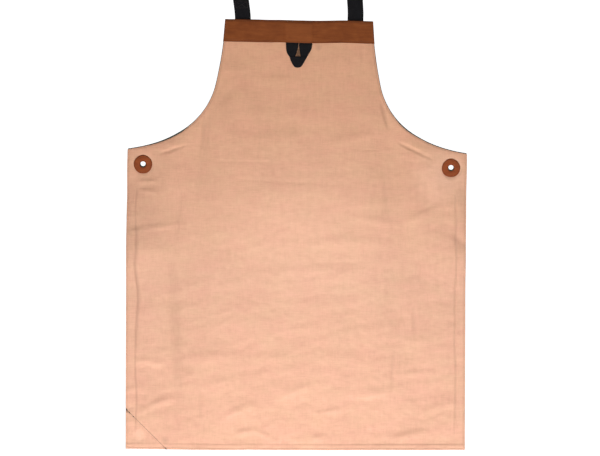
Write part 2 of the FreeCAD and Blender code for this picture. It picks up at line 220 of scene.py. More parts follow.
def ribbon(name, path, across, outward, width, thick, material):
    """A closed strip of webbing. path runs down its middle, across and outward are unit vectors
    at each point, along its width and out of its face."""
    path, across, outward = (np.asarray(a, float) for a in (path, across, outward))
    half, depth = width / 2, thick / 2
    lie = np.linspace(-1, 1, 17)
    crown = depth * np.sqrt(np.clip(1 - np.abs(lie) ** 8, 0, 1))
    ring_u = np.concatenate([lie, lie[-2:0:-1]]) * half
    ring_v = np.concatenate([crown, -crown[-2:0:-1]])
    around = len(ring_u)
    points = (
        path[:, None, :]
        + across[:, None, :] * ring_u[None, :, None]
        + outward[:, None, :] * ring_v[None, :, None]
    )
    along = np.repeat(distance_along(path)[:, None], around, 1)
    flat = np.stack([np.broadcast_to(ring_u, along.shape), along], 2)
    faces = capped_tube(len(path), around)
    return mesh_object(name, points.reshape(-1, 3), faces, material, flat.reshape(-1, 2))


def frames_along(path, outward):
    """Directions across a strip that follows path, with outward made square to the path."""
    path, outward = np.asarray(path, float), np.asarray(outward, float)
    heading = unit(np.gradient(path, axis=0))
    outward = unit(outward - heading * (outward * heading).sum(1, keepdims=True))
    return np.cross(outward, heading), outward


def resampled(path, step):
    """The same path with points about step apart, and how far along each one is."""
    path = np.asarray(path, float)
    along = distance_along(path)
    at = np.linspace(0, along[-1], max(2, int(round(along[-1] / step)) + 1))
    return np.stack([np.interp(at, along, path[:, k]) for k in range(path.shape[1])], 1), at


def stitches(name, rows, material, pitch=2.7, length=2.1, radius=0.28, seed=1):
    """Separate stitches along rows. Each row is (points, outward): a path on the surface and the
    direction out of the surface, one for all of the row or one per point."""
    rng = np.random.default_rng(seed)
    around, rings = 6, 6
    turn = np.arange(around) * 2 * math.pi / around
    lie = np.linspace(-1, 1, rings)
    girth = radius * np.sqrt(1 - np.abs(lie) ** 3 * 0.96)
    rise = radius * (0.95 - 1.5 * lie**4)
    points, faces, flats = [], [], []
    for path, outward in rows:
        path = np.asarray(path, float)
        outward = np.broadcast_to(np.asarray(outward, float), path.shape)
        both, _ = resampled(np.concatenate([path, outward], 1), pitch)
        middle = (both[:-1, :3] + both[1:, :3]) / 2
        heading = unit(np.diff(both[:, :3], axis=0))
        out = unit((both[:-1, 3:] + both[1:, 3:]) / 2)
        side = unit(np.cross(heading, out))
        skew = rng.normal(0, 0.05, (len(middle), 1))
        heading = heading + side * skew
        reach = length / 2 * rng.normal(1, 0.05, len(middle))
        for k in range(len(middle)):
            start = len(points) * rings * around
            spine = middle[k] + np.outer(lie * reach[k], heading[k]) + np.outer(rise, out[k])
            ring = np.outer(np.cos(turn), side[k]) + np.outer(np.sin(turn), out[k])
            points.append((spine[:, None, :] + girth[:, None, None] * ring[None]).reshape(-1, 3))
            flats.append(np.stack(np.broadcast_arrays(lie[:, None] * reach[k], turn), 2))
            faces += capped_tube(rings, around, start)
    flat = np.concatenate([f.reshape(-1, 2) for f in flats])
    return mesh_object(name, np.concatenate(points), faces, material, flat)


def belongs(obj, slot, body, *nodes):
    """Gives a piece the body that it moves with, and hides the nodes it shows. slot is not used."""
    if nodes:
        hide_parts(*nodes)
    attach(obj, body)


# ---------------------------------------------------------------- materials


class Graph:
    """A material's node tree, with short ways to add what the materials here need."""

    def __init__(self, name, roughness, specular=0.3, sheen=0.0):
        self.material = bpy.data.materials.new(name)
        self.material.use_nodes = True
        self.tree = self.material.node_tree
        self.shader = self.tree.nodes["Principled BSDF"]
        self.shader.inputs["Roughness"].default_value = roughness
        self.shader.inputs["Specular IOR Level"].default_value = specular
        self.shader.inputs["Sheen Weight"].default_value = sheen
        flat = self.node("ShaderNodeAttribute", attribute_name="flat").outputs["Vector"]
        axes = self.node("ShaderNodeSeparateXYZ", {"Vector": flat})
        self.u, self.v, self.edge = (axes.outputs[k] for k in "XYZ")
        self.wear_and_shade = self.node("ShaderNodeAttribute", attribute_name="wear_and_shade").outputs["Fac"]
        self.object = self.node("ShaderNodeTexCoord").outputs["Object"]

    def node(self, kind, inputs=None, **settings):
        made = self.tree.nodes.new(kind)
        for key, value in settings.items():
            setattr(made, key, value)
        for key, value in (inputs or {}).items():
            self.feed(made.inputs[key], value)
        return made

    def feed(self, socket, value):
        if isinstance(value, bpy.types.NodeSocket):
            self.tree.links.new(value, socket)
        else:
            socket.default_value = value

    def math(self, operation, a, b=0.0, clamp=False):
        made = self.node("ShaderNodeMath", {0: a, 1: b}, operation=operation, use_clamp=clamp)
        return made.outputs[0]

    def times(self, a, b, clamp=False):
        return self.math("MULTIPLY", a, b, clamp)

    def plus(self, a, b, clamp=False):
        return self.math("ADD", a, b, clamp)

    def stretched(self, u_scale, v_scale, shift=0.0):
        """The flat place, scaled apart along and across the cloth."""
        u = self.times(self.u, u_scale)
        v = self.times(self.v, v_scale)
        return self.node("ShaderNodeCombineXYZ", {"X": u, "Y": v, "Z": shift}).outputs[0]

    def noise(self, vector, scale=1.0, detail=2.0, roughness=0.5):
        inputs = {"Vector": vector, "Scale": scale, "Detail": detail, "Roughness": roughness}
        return self.node("ShaderNodeTexNoise", inputs).outputs["Fac"]

    def fibres(self, u_scale, v_scale, shift=0.0, detail=2.0, roughness=0.5):
        """Noise that is stretched along or across the cloth."""
        return self.noise(self.stretched(u_scale, v_scale, shift), 1.0, detail, roughness)

    def wave(self, value, pitch):
        """A sine of a length in metres, from -1 to 1."""
        return self.math("SINE", self.times(value, 2 * math.pi / pitch))

    def near_edge(self, reach):
        """1 at the material's edge, falling to 0 at reach millimetres from it."""
        return self.math("SUBTRACT", 1.0, self.math("DIVIDE", self.edge, reach * MM), clamp=True)

    def ramp(self, value, *stops):
        made = self.node("ShaderNodeValToRGB", {"Fac": value})
        elements = made.color_ramp.elements
        while len(elements) < len(stops):
            elements.new(0.5)
        for element, (at, colour) in zip(elements, stops):
            element.position = at
            element.color = (*colour, 1.0)
        return made.outputs["Color"]

    def mix(self, share, a, b, blend="MIX"):
        made = self.node("ShaderNodeMix", data_type="RGBA", blend_type=blend)
        self.feed(made.inputs[0], share)
        self.feed(made.inputs[6], a if isinstance(a, bpy.types.NodeSocket) else (*a, 1.0))
        self.feed(made.inputs[7], b if isinstance(b, bpy.types.NodeSocket) else (*b, 1.0))
        return made.outputs[2]

    def weighted(self, *terms):
        """The sum of (socket, weight) pairs."""
        total = 0.0
        for socket, weight in terms:
            total = self.plus(self.times(socket, weight), total)
        return total

    def finish(self, colour, height=None, distance=0.0003, strength=1.0, roughness=None):
        self.feed(self.shader.inputs["Base Color"], colour)
        if roughness is not None:
            self.feed(self.shader.inputs["Roughness"], roughness)
        if height is not None:
            inputs = {"Height": height, "Distance": distance, "Strength": strength}
            relief = self.node("ShaderNodeBump", inputs)
            self.feed(self.shader.inputs["Normal"], relief.outputs["Normal"])
        return self.material


def canvas_material(name, base, light, dark, tints, top_to_hem_tints, stains_and_painted_light=()):
    """Plain-weave canvas: two sets of threads, slubs in both directions, faint mottling, a soft
    drift between two tints, a tint from its top to its hem that is painted light on the face,
    listed marks of grime, a pale mark, painted shade and painted light, edges darkened by rubbing,
    and painted shade along its creases, seams and stitch rows."""
    g = Graph(name, roughness=0.92, specular=0.15, sheen=0.05)
    weft_slubs = g.fibres(40, 520, detail=3.0, roughness=0.65)
    warp_slubs = g.fibres(560, 34, 4.0, detail=3.0, roughness=0.65)
    patches = g.fibres(9, 15, 9.0, detail=4.0, roughness=0.6)
    cloudy = g.fibres(45, 80, 2.0, detail=5.0, roughness=0.7)
    flecks = g.fibres(120, 170, 6.0, detail=4.0, roughness=0.7)
    drift = g.fibres(14, 24, 7.0, detail=5.0, roughness=0.7)
    threads = g.times(g.wave(g.u, 0.0011), g.wave(g.v, 0.0011))
    tone = g.weighted(
        (weft_slubs, 0.32), (warp_slubs, 0.26), (patches, 0.10), (cloudy, 0.12), (flecks, 0.20)
    )
    tone = g.plus(tone, g.times(threads, 0.03))
    colour = g.ramp(tone, (0.38, dark), (0.52, base), (0.68, light))
    colour = g.mix(1.0, colour, g.ramp(drift, (0.36, tints[0]), (0.64, tints[1])), "MULTIPLY")
    # painted light: the colour is tinted from the top to the hem; on the face it is warmer at the top
    # and cooler lower down, as the light there is
    down = g.times(g.v, 1 / (HEM * MM))
    top_to_hem_tint = g.ramp(down, (0.05, top_to_hem_tints[0]), (0.6, top_to_hem_tints[1]), (0.95, top_to_hem_tints[2]))
    colour = g.mix(1.0, colour, top_to_hem_tint, "MULTIPLY")
    # the marks listed with FACE are grime, a pale mark, and patches of painted shade and painted
    # light
    for x, z, size, strength, shade in stains_and_painted_light:
        du = g.math("SUBTRACT", g.u, x * MM)
        dv = g.math("SUBTRACT", g.v, z * MM)
        away = g.math("SQRT", g.plus(g.times(du, du), g.times(dv, dv)))
        near = g.math("SUBTRACT", 1.0, g.math("DIVIDE", away, size * MM), clamp=True)
        spotted = g.times(near, g.times(cloudy, strength), clamp=True)
        colour = g.mix(spotted, colour, shade)
    # painted shade: the canvas darkens along its creases, seams, hem step and stitch rows, and its
    # edges darken from rubbing
    wear_and_crease_shade = g.times(g.near_edge(3.0), 0.25)
    wear_and_crease_shade = g.plus(wear_and_crease_shade, g.times(g.wear_and_shade, 0.5), clamp=True)
    colour = g.mix(wear_and_crease_shade, colour, tuple(0.62 * c for c in dark))
    height = g.weighted((threads, 0.30), (weft_slubs, 1.0), (warp_slubs, 0.8), (flecks, 1.0))
    return g.finish(colour, height, distance=0.0004, strength=0.5)


def leather_material(name, base, light, dark):
    """Matt brown leather: fine pores, a soft pull along its length, scuffs, and dark cut edges."""
    g = Graph(name, roughness=0.6, specular=0.08)
    pores = g.fibres(1300, 1300, detail=3.0, roughness=0.6)
    cells = {"Vector": g.stretched(620, 760), "Scale": 1.0}
    grain = g.node("ShaderNodeTexVoronoi", cells, feature="F1").outputs["Distance"]
    pull = g.fibres(22, 190, detail=5.0, roughness=0.65)
    blotches = g.fibres(36, 60, 3.0, detail=5.0, roughness=0.6)
    tone = g.weighted((pull, 0.40), (blotches, 0.42), (pores, 0.22))
    colour = g.ramp(tone, (0.36, dark), (0.53, base), (0.70, light))
    colour = g.mix(g.times(g.wear_and_shade, 0.4), colour, light)
    burnished = g.times(g.near_edge(2.4), 0.75)
    colour = g.mix(burnished, colour, tuple(0.6 * c for c in dark))
    height = g.weighted((grain, 0.7), (pores, 0.5), (pull, 0.6))
    gloss = g.plus(g.times(pull, 0.25), 0.48)
    return g.finish(colour, height, distance=0.0004, strength=0.45, roughness=gloss)


def webbing_material(name, base, light):
    """Ribbed webbing: warp ribs along it, each crossed by picks that step from rib to rib."""
    g = Graph(name, roughness=0.85, specular=0.05, sheen=0.01)
    ribs = g.wave(g.u, 0.0016)
    half_step = g.times(g.math("SIGN", ribs), 0.00045)
    picks = g.wave(g.plus(g.v, half_step), 0.0018)
    fibres = g.fibres(1600, 500, detail=3.0, roughness=0.6)
    wear = g.fibres(120, 60, 5.0, detail=4.0)
    tone = g.weighted((fibres, 0.5), (wear, 0.3), (picks, 0.08), (ribs, 0.06))
    colour = g.ramp(tone, (0.25, base), (0.62, light))
    height = g.weighted((g.math("ABSOLUTE", ribs), 0.9), (picks, 0.5), (fibres, 0.5))
    return g.finish(colour, height, distance=0.0003, strength=0.8)


def thread_material(name, base, light):
    """Twisted sewing thread: its plies slant across each stitch."""
    g = Graph(name, roughness=0.6, specular=0.2, sheen=0.05)
    around = g.times(g.v, 2000)
    slant = g.plus(g.times(g.u, 2 * math.pi / 0.0009), around)
    plies = g.math("SINE", slant)
    fuzz = g.noise(g.object, scale=900.0, detail=2.0)
    colour = g.ramp(g.weighted((fuzz, 0.8), (plies, 0.1)), (0.2, base), (0.75, light))
    return g.finish(colour, plies, distance=0.0001, strength=0.4)


def metal_material(name):
    """Nickel plate with fine scratches and dull patches."""
    g = Graph(name, roughness=0.3)
    g.shader.inputs["Metallic"].default_value = 1.0
    scratches = g.noise(g.object, scale=420.0, detail=5.0, roughness=0.7)
    patches = g.noise(g.object, scale=60.0, detail=3.0)
    colour = g.ramp(patches, (0.3, (0.42, 0.40, 0.37)), (0.7, (0.62, 0.60, 0.56)))
    gloss = g.plus(g.times(patches, 0.3), 0.16)
    return g.finish(colour, scratches, distance=0.00005, strength=0.25, roughness=gloss)


# Each mark is a place (x, z), its radius, its strength and its colour: grime, a pale round mark, and
# patches of painted shade and painted light.
# the colour of grime, used also for patches of painted shade and a painted shadow
GRIME_AND_PAINTED_SHADE = (0.15, 0.09, 0.042)
# painted shade: the colour of the cloth seen in the hang loop's eye
LOOP_EYE_SHADE = (0.17, 0.085, 0.042)
# the colour of the pale round mark near the corner, used also for patches of painted light
PALE_MARK_AND_PAINTED_LIGHT = (0.92, 0.54, 0.365)
FACE = canvas_material(
    "face_canvas",
    base=(0.715, 0.382, 0.245),
    light=(0.78, 0.43, 0.28),
    dark=(0.64, 0.33, 0.208),
    tints=((1.0, 0.965, 0.98), (0.99, 1.02, 0.99)),
    # painted light: warmer at the top and cooler lower down, as the light falls
    top_to_hem_tints=((1.0, 0.95, 0.87), (0.975, 1.0, 1.02), (0.98, 0.985, 1.005)),
    stains_and_painted_light=(
        (41, -56, 9, 0.5, GRIME_AND_PAINTED_SHADE),
        # painted shade in the hang loop's eye
        (-1, -65, 15, 2.8, LOOP_EYE_SHADE),
        # painted shade: a broad darker patch on the left, above the fold
        (-305, -425, 95, 0.30, GRIME_AND_PAINTED_SHADE),
        # painted shadow: a small dark patch by the lower end of the slanting corner row
        (-268, -866, 10, 0.6, GRIME_AND_PAINTED_SHADE),
        (-322, -858, 17, 0.9, PALE_MARK_AND_PAINTED_LIGHT),
        # painted light: this patch and the next are lighter where more light falls, on the upper
        # right and across the waist
        (300, -318, 75, 0.9, PALE_MARK_AND_PAINTED_LIGHT),
        (30, -430, 210, 0.4, PALE_MARK_AND_PAINTED_LIGHT),
    ),
)
BACKING = canvas_material(
    "back_canvas",
    base=(0.085, 0.095, 0.075),
    light=(0.12, 0.13, 0.105),
    dark=(0.055, 0.062, 0.05),
    tints=((0.97, 1.0, 1.0), (1.03, 1.0, 0.97)),
    top_to_hem_tints=((0.97, 0.97, 0.97), (1.0, 1.0, 1.0), (1.03, 1.03, 1.03)),
)
LEATHER_BROWN = leather_material(
    "leather", base=(0.208, 0.050, 0.009), light=(0.28, 0.075, 0.017), dark=(0.142, 0.031, 0.005)
)
RING_LEATHER = leather_material(
    "ring_leather",
    base=(0.242, 0.050, 0.0112),
    light=(0.32, 0.076, 0.02),
    dark=(0.165, 0.031, 0.0062),
)
BLACK_WEBBING = webbing_material("webbing", (0.0055, 0.005, 0.0058), (0.015, 0.0135, 0.0145))
TAN_THREAD = thread_material("tan_thread", (0.54, 0.29, 0.19), (0.66, 0.38, 0.25))
BROWN_THREAD = thread_material("brown_thread", (0.14, 0.038, 0.012), (0.22, 0.07, 0.024))
DARK_THREAD = thread_material("dark_thread", (0.018, 0.012, 0.009), (0.045, 0.03, 0.022))
NICKEL = metal_material("buckle_metal")

# ---------------------------------------------------------------- the cut of the cloth

ARC_RADII = (862.0, 152.0, 267.0)
ARC_TURNS = tuple(math.radians(a) for a in (3.5, 12.5, 58.5))
BIB_HALF = 151.5


def arc_centres():
    """The armhole's three arcs are tangent to each other, with their centres outside the cloth."""
    x = BIB_HALF + ARC_RADII[0] * math.cos(ARC_TURNS[0])
    z = ARC_RADII[0] * math.sin(ARC_TURNS[0])
    centres = [(x, z)]
    for k in (1, 2):
        step = ARC_RADII[k] - ARC_RADII[k - 1]
        x += step * math.cos(ARC_TURNS[k])
        z += step * math.sin(ARC_TURNS[k])
        centres.append((x, z))
    return centres


CENTRES = arc_centres()


def half_width(z, inset=0.0, side_inset=None):
    """Half the cloth's width at a height, inset from the armholes and from the sides."""
    z = np.asarray(z, float)
    side = HALF - (inset if side_inset is None else side_inset)
    width = np.full(z.shape, side)
    for k in range(3):
        (cx, cz), radius = CENTRES[k], ARC_RADII[k] + inset
        start = math.inf if k == 0 else cz - radius * math.sin(ARC_TURNS[k])
        stop = -math.inf if k == 2 else cz - radius * math.sin(ARC_TURNS[k + 1])
        slope = np.clip((cz - z) / radius, 0, 1)
        found = cx - radius * np.sqrt(1 - slope**2)
        here = (z <= start) & (z > stop) & (slope < 1)
        width = np.where(here, np.minimum(found, side), width)
    return width


def corner_height(inset=0.0, side_inset=None):
    """The height of the waist corner."""
    side = HALF - (inset if side_inset is None else side_inset)
    cx, cz = CENTRES[2]
    radius = ARC_RADII[2] + inset
    return cz - math.sqrt(radius**2 - (cx - side) ** 2)


def edge_path(inset, top):
    """The right-hand edge from a height on the bib down to the hem, as (x, z) points."""
    corner = corner_height(inset)
    turns = np.linspace(0, 1, 90) ** 0.55
    heights = top + (corner - top) * turns
    arm = np.stack([half_width(heights, inset), heights], 1)
    side = np.stack([[HALF - inset] * 2, [corner, HEM + inset]], 1)
    return np.concatenate([arm[:-1], side])


def edge_tree():
    """The whole edge but the top, for distances to it."""
    right = resampled(edge_path(0.0, 0.0), 1.5)[0]
    hem = np.stack([np.linspace(-HALF, HALF, 470), np.full(470, HEM)], 1)
    around = np.concatenate([right, right * (-1, 1), hem])
    tree = KDTree(len(around))
    for k, (x, z) in enumerate(around):
        tree.insert((x, z, 0), k)
    tree.balance()
    return tree


EDGE = edge_tree()
FAR = 50.0


def edge_distance(x, z):
    """The distance to the cloth's edge, or FAR where that is nowhere near."""
    near = (half_width(z) - np.abs(x) < FAR) | (z < HEM + FAR)
    found = np.full(x.shape, FAR)
    found[near] = [EDGE.find((a, b, 0))[2] for a, b in zip(x[near], z[near])]
    return np.minimum(found, FAR)


# distances from an edge where the hem and its stitches need mesh lines
EDGE_STEPS = (0, 0.4, 1, 2, 3, 4, 5.2, 6.6, 8, 9.4, 10.6, 12, 14, 16.5, 19.3, 21, 22.7, 25)


def spread_between(start, stop, step):
    count = max(2, int(round(abs(stop - start) / step)) + 1)
    return list(np.linspace(start, stop, count))


def cloth_columns(step):
    """Places across the cloth, as shares of its half width, closer together at the edges."""
    shares = [1 - inset / HALF for inset in EDGE_STEPS]
    eyelet = (HALF - EYELETS[1][0]) / HALF
    inner = 1 - eyelet - 12 / HALF
    ring = spread_between(shares[-1], inner, 2.0 / HALF)[1:]
    middle = spread_between(inner, 0, step / HALF)[1:]
    right = shares + ring + middle
    return np.array(sorted({-s for s in right} | set(right)))


def cloth_rows(top, hem, corner, step):
    """Heights down the cloth, closer together at the waist corners, the eyelets and the hem."""
    eyelet = EYELETS[0][1]
    heights = spread_between(top, corner + 40, step)
    heights += spread_between(corner + 40, corner, 1.7)[1:]
    heights += spread_between(corner, eyelet - 15, 2.0)[1:]
    heights += spread_between(eyelet - 15, hem + EDGE_STEPS[-1], step)[1:]
    heights += [hem + inset for inset in reversed(EDGE_STEPS[:-1])]
    return np.array(heights)


# ---------------------------------------------------------------- wrinkles

# Folds that stand towards the viewer: (start, end, width, height), places as (x, z).
RIDGES = (
    ((-308, -800), (-256, -779), 8, 2.6),
    ((-300, -815), (-262, -812), 14, 1.4),
    ((-137, -811), (-89, -792), 8, 2.2),
    ((-122, -849), (-84, -845), 6, 2.0),
    ((-84, -845), (-50, -858), 5, 1.7),
    ((34, -811), (86, -801), 6, 2.0),
    ((-58, -776), (34, -757), 7, 1.3),
    ((213, -729), (281, -723), 6, 1.5),
    ((213, -858), (269, -846), 6, 1.8),
    ((28, -858), (69, -859), 7, 1.4),
    ((110, -404), (213, -419), 7, 0.9),
    ((213, -419), (310, -378), 7, 1.0),
    ((-336, -436), (-233, -423), 5, 1.6),
    ((-326, -338), (-287, -336), 4, 1.3),
    ((-322, -355), (-283, -359), 4, 1.2),
    ((28, -460), (166, -454), 11, 0.9),
    ((-60, -520), (120, -514), 11, 0.7),
    ((-180, -620), (-20, -628), 12, 0.8),
    ((100, -640), (220, -628), 11, 0.8),
    ((260, -800), (340, -786), 7, 1.4),
    ((120, -774), (220, -758), 8, 1.2),
    ((-330, -700), (-280, -708), 8, 1.2),
    ((-160, -236), (-60, -246), 9, 0.6),
    ((60, -250), (150, -236), 9, 0.6),
    ((-110, -120), (20, -128), 9, 0.7),
    ((20, -690), (130, -700), 9, 0.9),
    ((-220, -700), (-120, -690), 9, 0.9),
)
# Valleys and pressed creases, the same way.
GROOVES = (
    ((-190, -196), (-195, -264), 3.3, 1.3),
    ((-192, -210), (-201, -356), 3.6, 0.6),
    ((-179, -200), (-190, -300), 4.5, 0.7),
    ((-236, -356), (-247, -453), 3.2, 0.9),
    ((-254, -495), (-240, -784), 9.5, 1.5),
    ((-197, -757), (-195, -819), 3.2, 0.9),
    ((244, -592), (248, -654), 3.6, 1.1),
    ((203, -680), (199, -769), 3.4, 0.8),
    ((178, -300), (188, -400), 3.6, 0.6),
    ((213, -251), (275, -280), 3.2, 1.7),
    ((-281, -278), (-234, -263), 3.0, 1.5),
    ((172, -164), (186, -216), 4.2, 1.7),
    ((-164, -179), (-131, -137), 8.0, 1.1),
    ((-184, -293), (-40, -294), 2.4, 0.3),
    ((-171, -581), (-40, -583), 2.8, 0.35),
    ((326, -440), (348, -458), 8.0, 2.0),
    ((-340, -422), (-318, -432), 6.0, 0.8),
    ((40, -500), (150, -497), 3.0, 0.5),
    ((-120, -330), (90, -338), 3.0, 0.4),
)
# Broad, low swells towards the viewer: (x, z), half width, half height and how far they stand.
SWELLS = (
    ((20, -400), 330, 88, 5.5),
    ((20, -350), 300, 50, 1.5),
    ((-310, -474), 55, 42, 4.5),
    ((332, -486), 42, 36, 4.0),
    ((-150, -250), 70, 45, 1.0),
    ((-300, -560), 45, 70, 1.5),
    ((300, -640), 50, 90, 1.5),
    ((-165, -205), 36, 48, 1.6),
    ((170, -222), 36, 48, 1.6),
)


def segment_distance(x, z, start, end):
    """The distance to a segment, and the share of the way along it."""
    (ax, az), (bx, bz) = start, end
    dx, dz = bx - ax, bz - az
    share = ((x - ax) * dx + (z - az) * dz) / (dx * dx + dz * dz)
    share = np.clip(share, 0, 1)
    return np.hypot(x - ax - share * dx, z - az - share * dz), share


def folds(x, z, listed):
    """The sum of listed folds. Each bows a little and fades at both ends."""
    total = np.zeros_like(x)
    for start, end, width, height in listed:
        length = math.dist(start, end)
        away, share = segment_distance(x, z, start, end)
        bow = 0.06 * length * np.sin(math.pi * share)
        away = away - 0.25 * np.minimum(bow, width)
        fade = 0.25 + 0.75 * np.sin(math.pi * np.clip(share, 0.03, 0.97)) ** 0.7
        total += height * fade * np.exp(-((away / width) ** 2))
    return total


def crumple(x, z, long, short, seed, turn=0.0):
    """Smooth random relief, about 1 high, long in x and short in z, turned by some degrees."""
    rng = np.random.default_rng(seed)
    cell = min(long, short) / 2.5
    columns, rows = int(2 * HALF / cell) + 40, int(-HEM / cell) + 40
    noise = np.fft.rfft2(rng.normal(size=(rows, columns)))
    fz, fx = np.fft.fftfreq(rows)[:, None] / cell, np.fft.rfftfreq(columns)[None, :] / cell
    cosine, sine = math.cos(math.radians(turn)), math.sin(math.radians(turn))
    along, across = long * (cosine * fx - sine * fz), short * (cosine * fz + sine * fx)
    field = np.fft.irfft2(noise * np.exp(-2.2 * (along**2 + across**2)), s=(rows, columns))
    field /= field.std()
    at_x, at_z = (x + HALF) / cell + 18, -z / cell + 18
    i, j = np.floor(at_x).astype(int), np.floor(at_z).astype(int)
    a, b = smooth(at_x - i, 0, 1), smooth(at_z - j, 0, 1)
    upper = field[j, i] * (1 - a) + field[j, i + 1] * a
    lower = field[j + 1, i] * (1 - a) + field[j + 1, i + 1] * a
    return upper * (1 - b) + lower * b


def soft_waves(x, z):
    """The broad waves that the cloth has before it is hung."""
    return 1.1 * crumple(x, z, 260, 170, 14) + 0.35 * crumple(x, z, 60, 40, 15)


def creases(x, z):
    """How far the cloth's creases stand towards the viewer: the listed folds over a fine,
    mostly crosswise crumpling that grows stronger down the skirt."""
    lower = 0.35 + 0.65 * smooth(-z, 250, 800)
    relief = 0.26 * lower * crumple(x, z, 85, 15, 11, 4)
    relief += 0.22 * lower * crumple(x, z, 40, 11, 12, 22)
    relief += 0.12 * lower * crumple(x, z, 30, 9, 17, -25)
    relief += 0.10 * crumple(x, z, 10, 60, 13)
    relief += 0.05 * crumple(x, z, 8, 8, 18)
    for (at_x, at_z), wide, high, stands in SWELLS:
        relief += stands * np.exp(-(((x - at_x) / wide) ** 2) - ((z - at_z) / high) ** 2)
    return relief + folds(x, z, RIDGES) - folds(x, z, GROOVES)


# ---------------------------------------------------------------- the hung cloth


def cubic_weights(t):
    """The four weights of a Catmull-Rom curve, a share t of the way along its middle span."""
    return (
        (-t + 2 * t**2 - t**3) / 2,
        (2 - 5 * t**2 + 3 * t**3) / 2,
        (t + 4 * t**2 - 3 * t**3) / 2,
        (t**3 - t**2) / 2,
    )


class Drape:
    """How the cloth hangs: how far each flat place moved, in millimetres. Blender's cloth finds
    it once, on a coarse grid between the two layers, and both layers follow it. The apron hangs
    almost flat, so only a part of each move is kept."""

    def __init__(self):
        self.shares = np.linspace(-1, 1, 101)
        self.heights = np.array(spread_between(-3.0, HEM, 7.0))
        z = np.repeat(self.heights[:, None], len(self.shares), 1)
        x = half_width(z) * self.shares[None, :]
        start = np.stack([x, -soft_waves(x, z), z], 2)
        moved = simulate(start)
        self.shift = moved - start
        self.shift[:, :, 1] = np.clip(0.3 * self.shift[:, :, 1], -5, 5)
        self.shift *= (0.15, 1, 0.3)
        self.shift[:, :, 1] -= soft_waves(x, z)

    def at(self, x, z):
        """The shift at any flat places."""
        rows, columns = self.shift.shape[:2]
        row_at = np.interp(-z, -self.heights, np.arange(rows))
        column_at = (np.clip(x / half_width(z), -1, 1) + 1) / 2 * (columns - 1)
        r = np.clip(np.floor(row_at).astype(int), 0, rows - 2)
        c = np.clip(np.floor(column_at).astype(int), 0, columns - 2)
        total = np.zeros((*x.shape, 3))
        for i, row_weight in enumerate(cubic_weights(row_at - r)):
            for j, column_weight in enumerate(cubic_weights(column_at - c)):
                near = np.clip(r + i - 1, 0, rows - 1), np.clip(c + j - 1, 0, columns - 1)
                total += (row_weight * column_weight)[..., None] * self.shift[near]
        return total


HANGING_FRAMES = 30
CLOTH_SETTINGS = {
    "quality": 7,
    "mass": 0.02,
    "tension_stiffness": 60,
    "compression_stiffness": 60,
    "shear_stiffness": 30,
    "bending_stiffness": 6,
    "air_damping": 3,
    "vertex_group_mass": "pins",
    "vertex_group_shrink": "seams",
    "shrink_min": 0.0,
    "shrink_max": 0.006,
}


def simulate(start):
    """Blender's cloth on a coarse grid, pinned under the band. The sewn edges draw up a little,
    so the cloth beside them puckers."""
    rows, columns = start.shape[:2]
    sheet = mesh_object("hanging", start.reshape(-1, 3), grid_quads(rows, columns), FACE)
    before = np.array([vertex.co for vertex in sheet.data.vertices])
    pins = sheet.vertex_groups.new(name="pins")
    seams = sheet.vertex_groups.new(name="seams")
    distance = edge_distance(start[:, :, 0], start[:, :, 2]).ravel()
    for k, (point, away) in enumerate(zip(start.reshape(-1, 3), distance)):
        if point[2] > BAND_LOW + 4:
            pins.add([k], 1.0, "REPLACE")
        seams.add([k], float(1 - smooth(away, 8, 18)), "REPLACE")
    cloth = sheet.modifiers.new("cloth", "CLOTH")
    for setting, value in CLOTH_SETTINGS.items():
        setattr(cloth.settings, setting, value)
    cloth.point_cache.frame_start = 1
    cloth.point_cache.frame_end = HANGING_FRAMES
    scene = bpy.context.scene
    for number in range(1, HANGING_FRAMES + 1):
        scene.frame_set(number)
    hung = sheet.evaluated_get(bpy.context.evaluated_depsgraph_get()).to_mesh()
    points = np.zeros(len(hung.vertices) * 3)
    hung.vertices.foreach_get("co", points)
    scene.frame_set(1)
    moved = (points.reshape(-1, 3) - before) / MM
    bpy.data.objects.remove(sheet)
    return start + moved.reshape(start.shape)


# The side seams, as distances in from the side: where the folded edge under the cloth steps
# down, the groove beside it, the line of painted shade on it, and a second line of painted shade
# beside the left one.
SEAM_STEP, SEAM_GROOVE, SEAM_LINE, SEAM_SHADE_LINE = (19.0, 20.4), 21.2, 20.6, 23.0
# where they fade in below the eyelets and out above the hem, as distances below the band's top
SEAM_STARTS, SEAM_ENDS = (340, 365), (830, 860)
# where the hem's turned edge steps down, as distances above the hem
HEM_STEP = (10.2, 11.6)
# half the space between the two canvas layers
LAYER_GAP = 0.04
# the reach of the waist's bend, where the hidden faces keep all of their vertices
FULL_MESH_NEAR_FOLD = 45
MARK_X, MARK_ABOVE_HEM, MARK_RADIUS = -322, 25, 12.5


def face_inset(x, z):
    """How far the far layer shows past the face along the armholes."""
    left = 1.2 + 2.4 * bump(z, -241, 17) + 0.5 * smooth(-z, 240, 262)
    right = 1.2 + 1.4 * bump(z, -222, 24) + 0.7 * smooth(-z, 235, 262)
    return np.where(x < 0, left, right)


def no_inset(x, z):
    """The far layer reaches the armholes' edge everywhere."""
    return np.zeros(np.broadcast(x, z).shape)


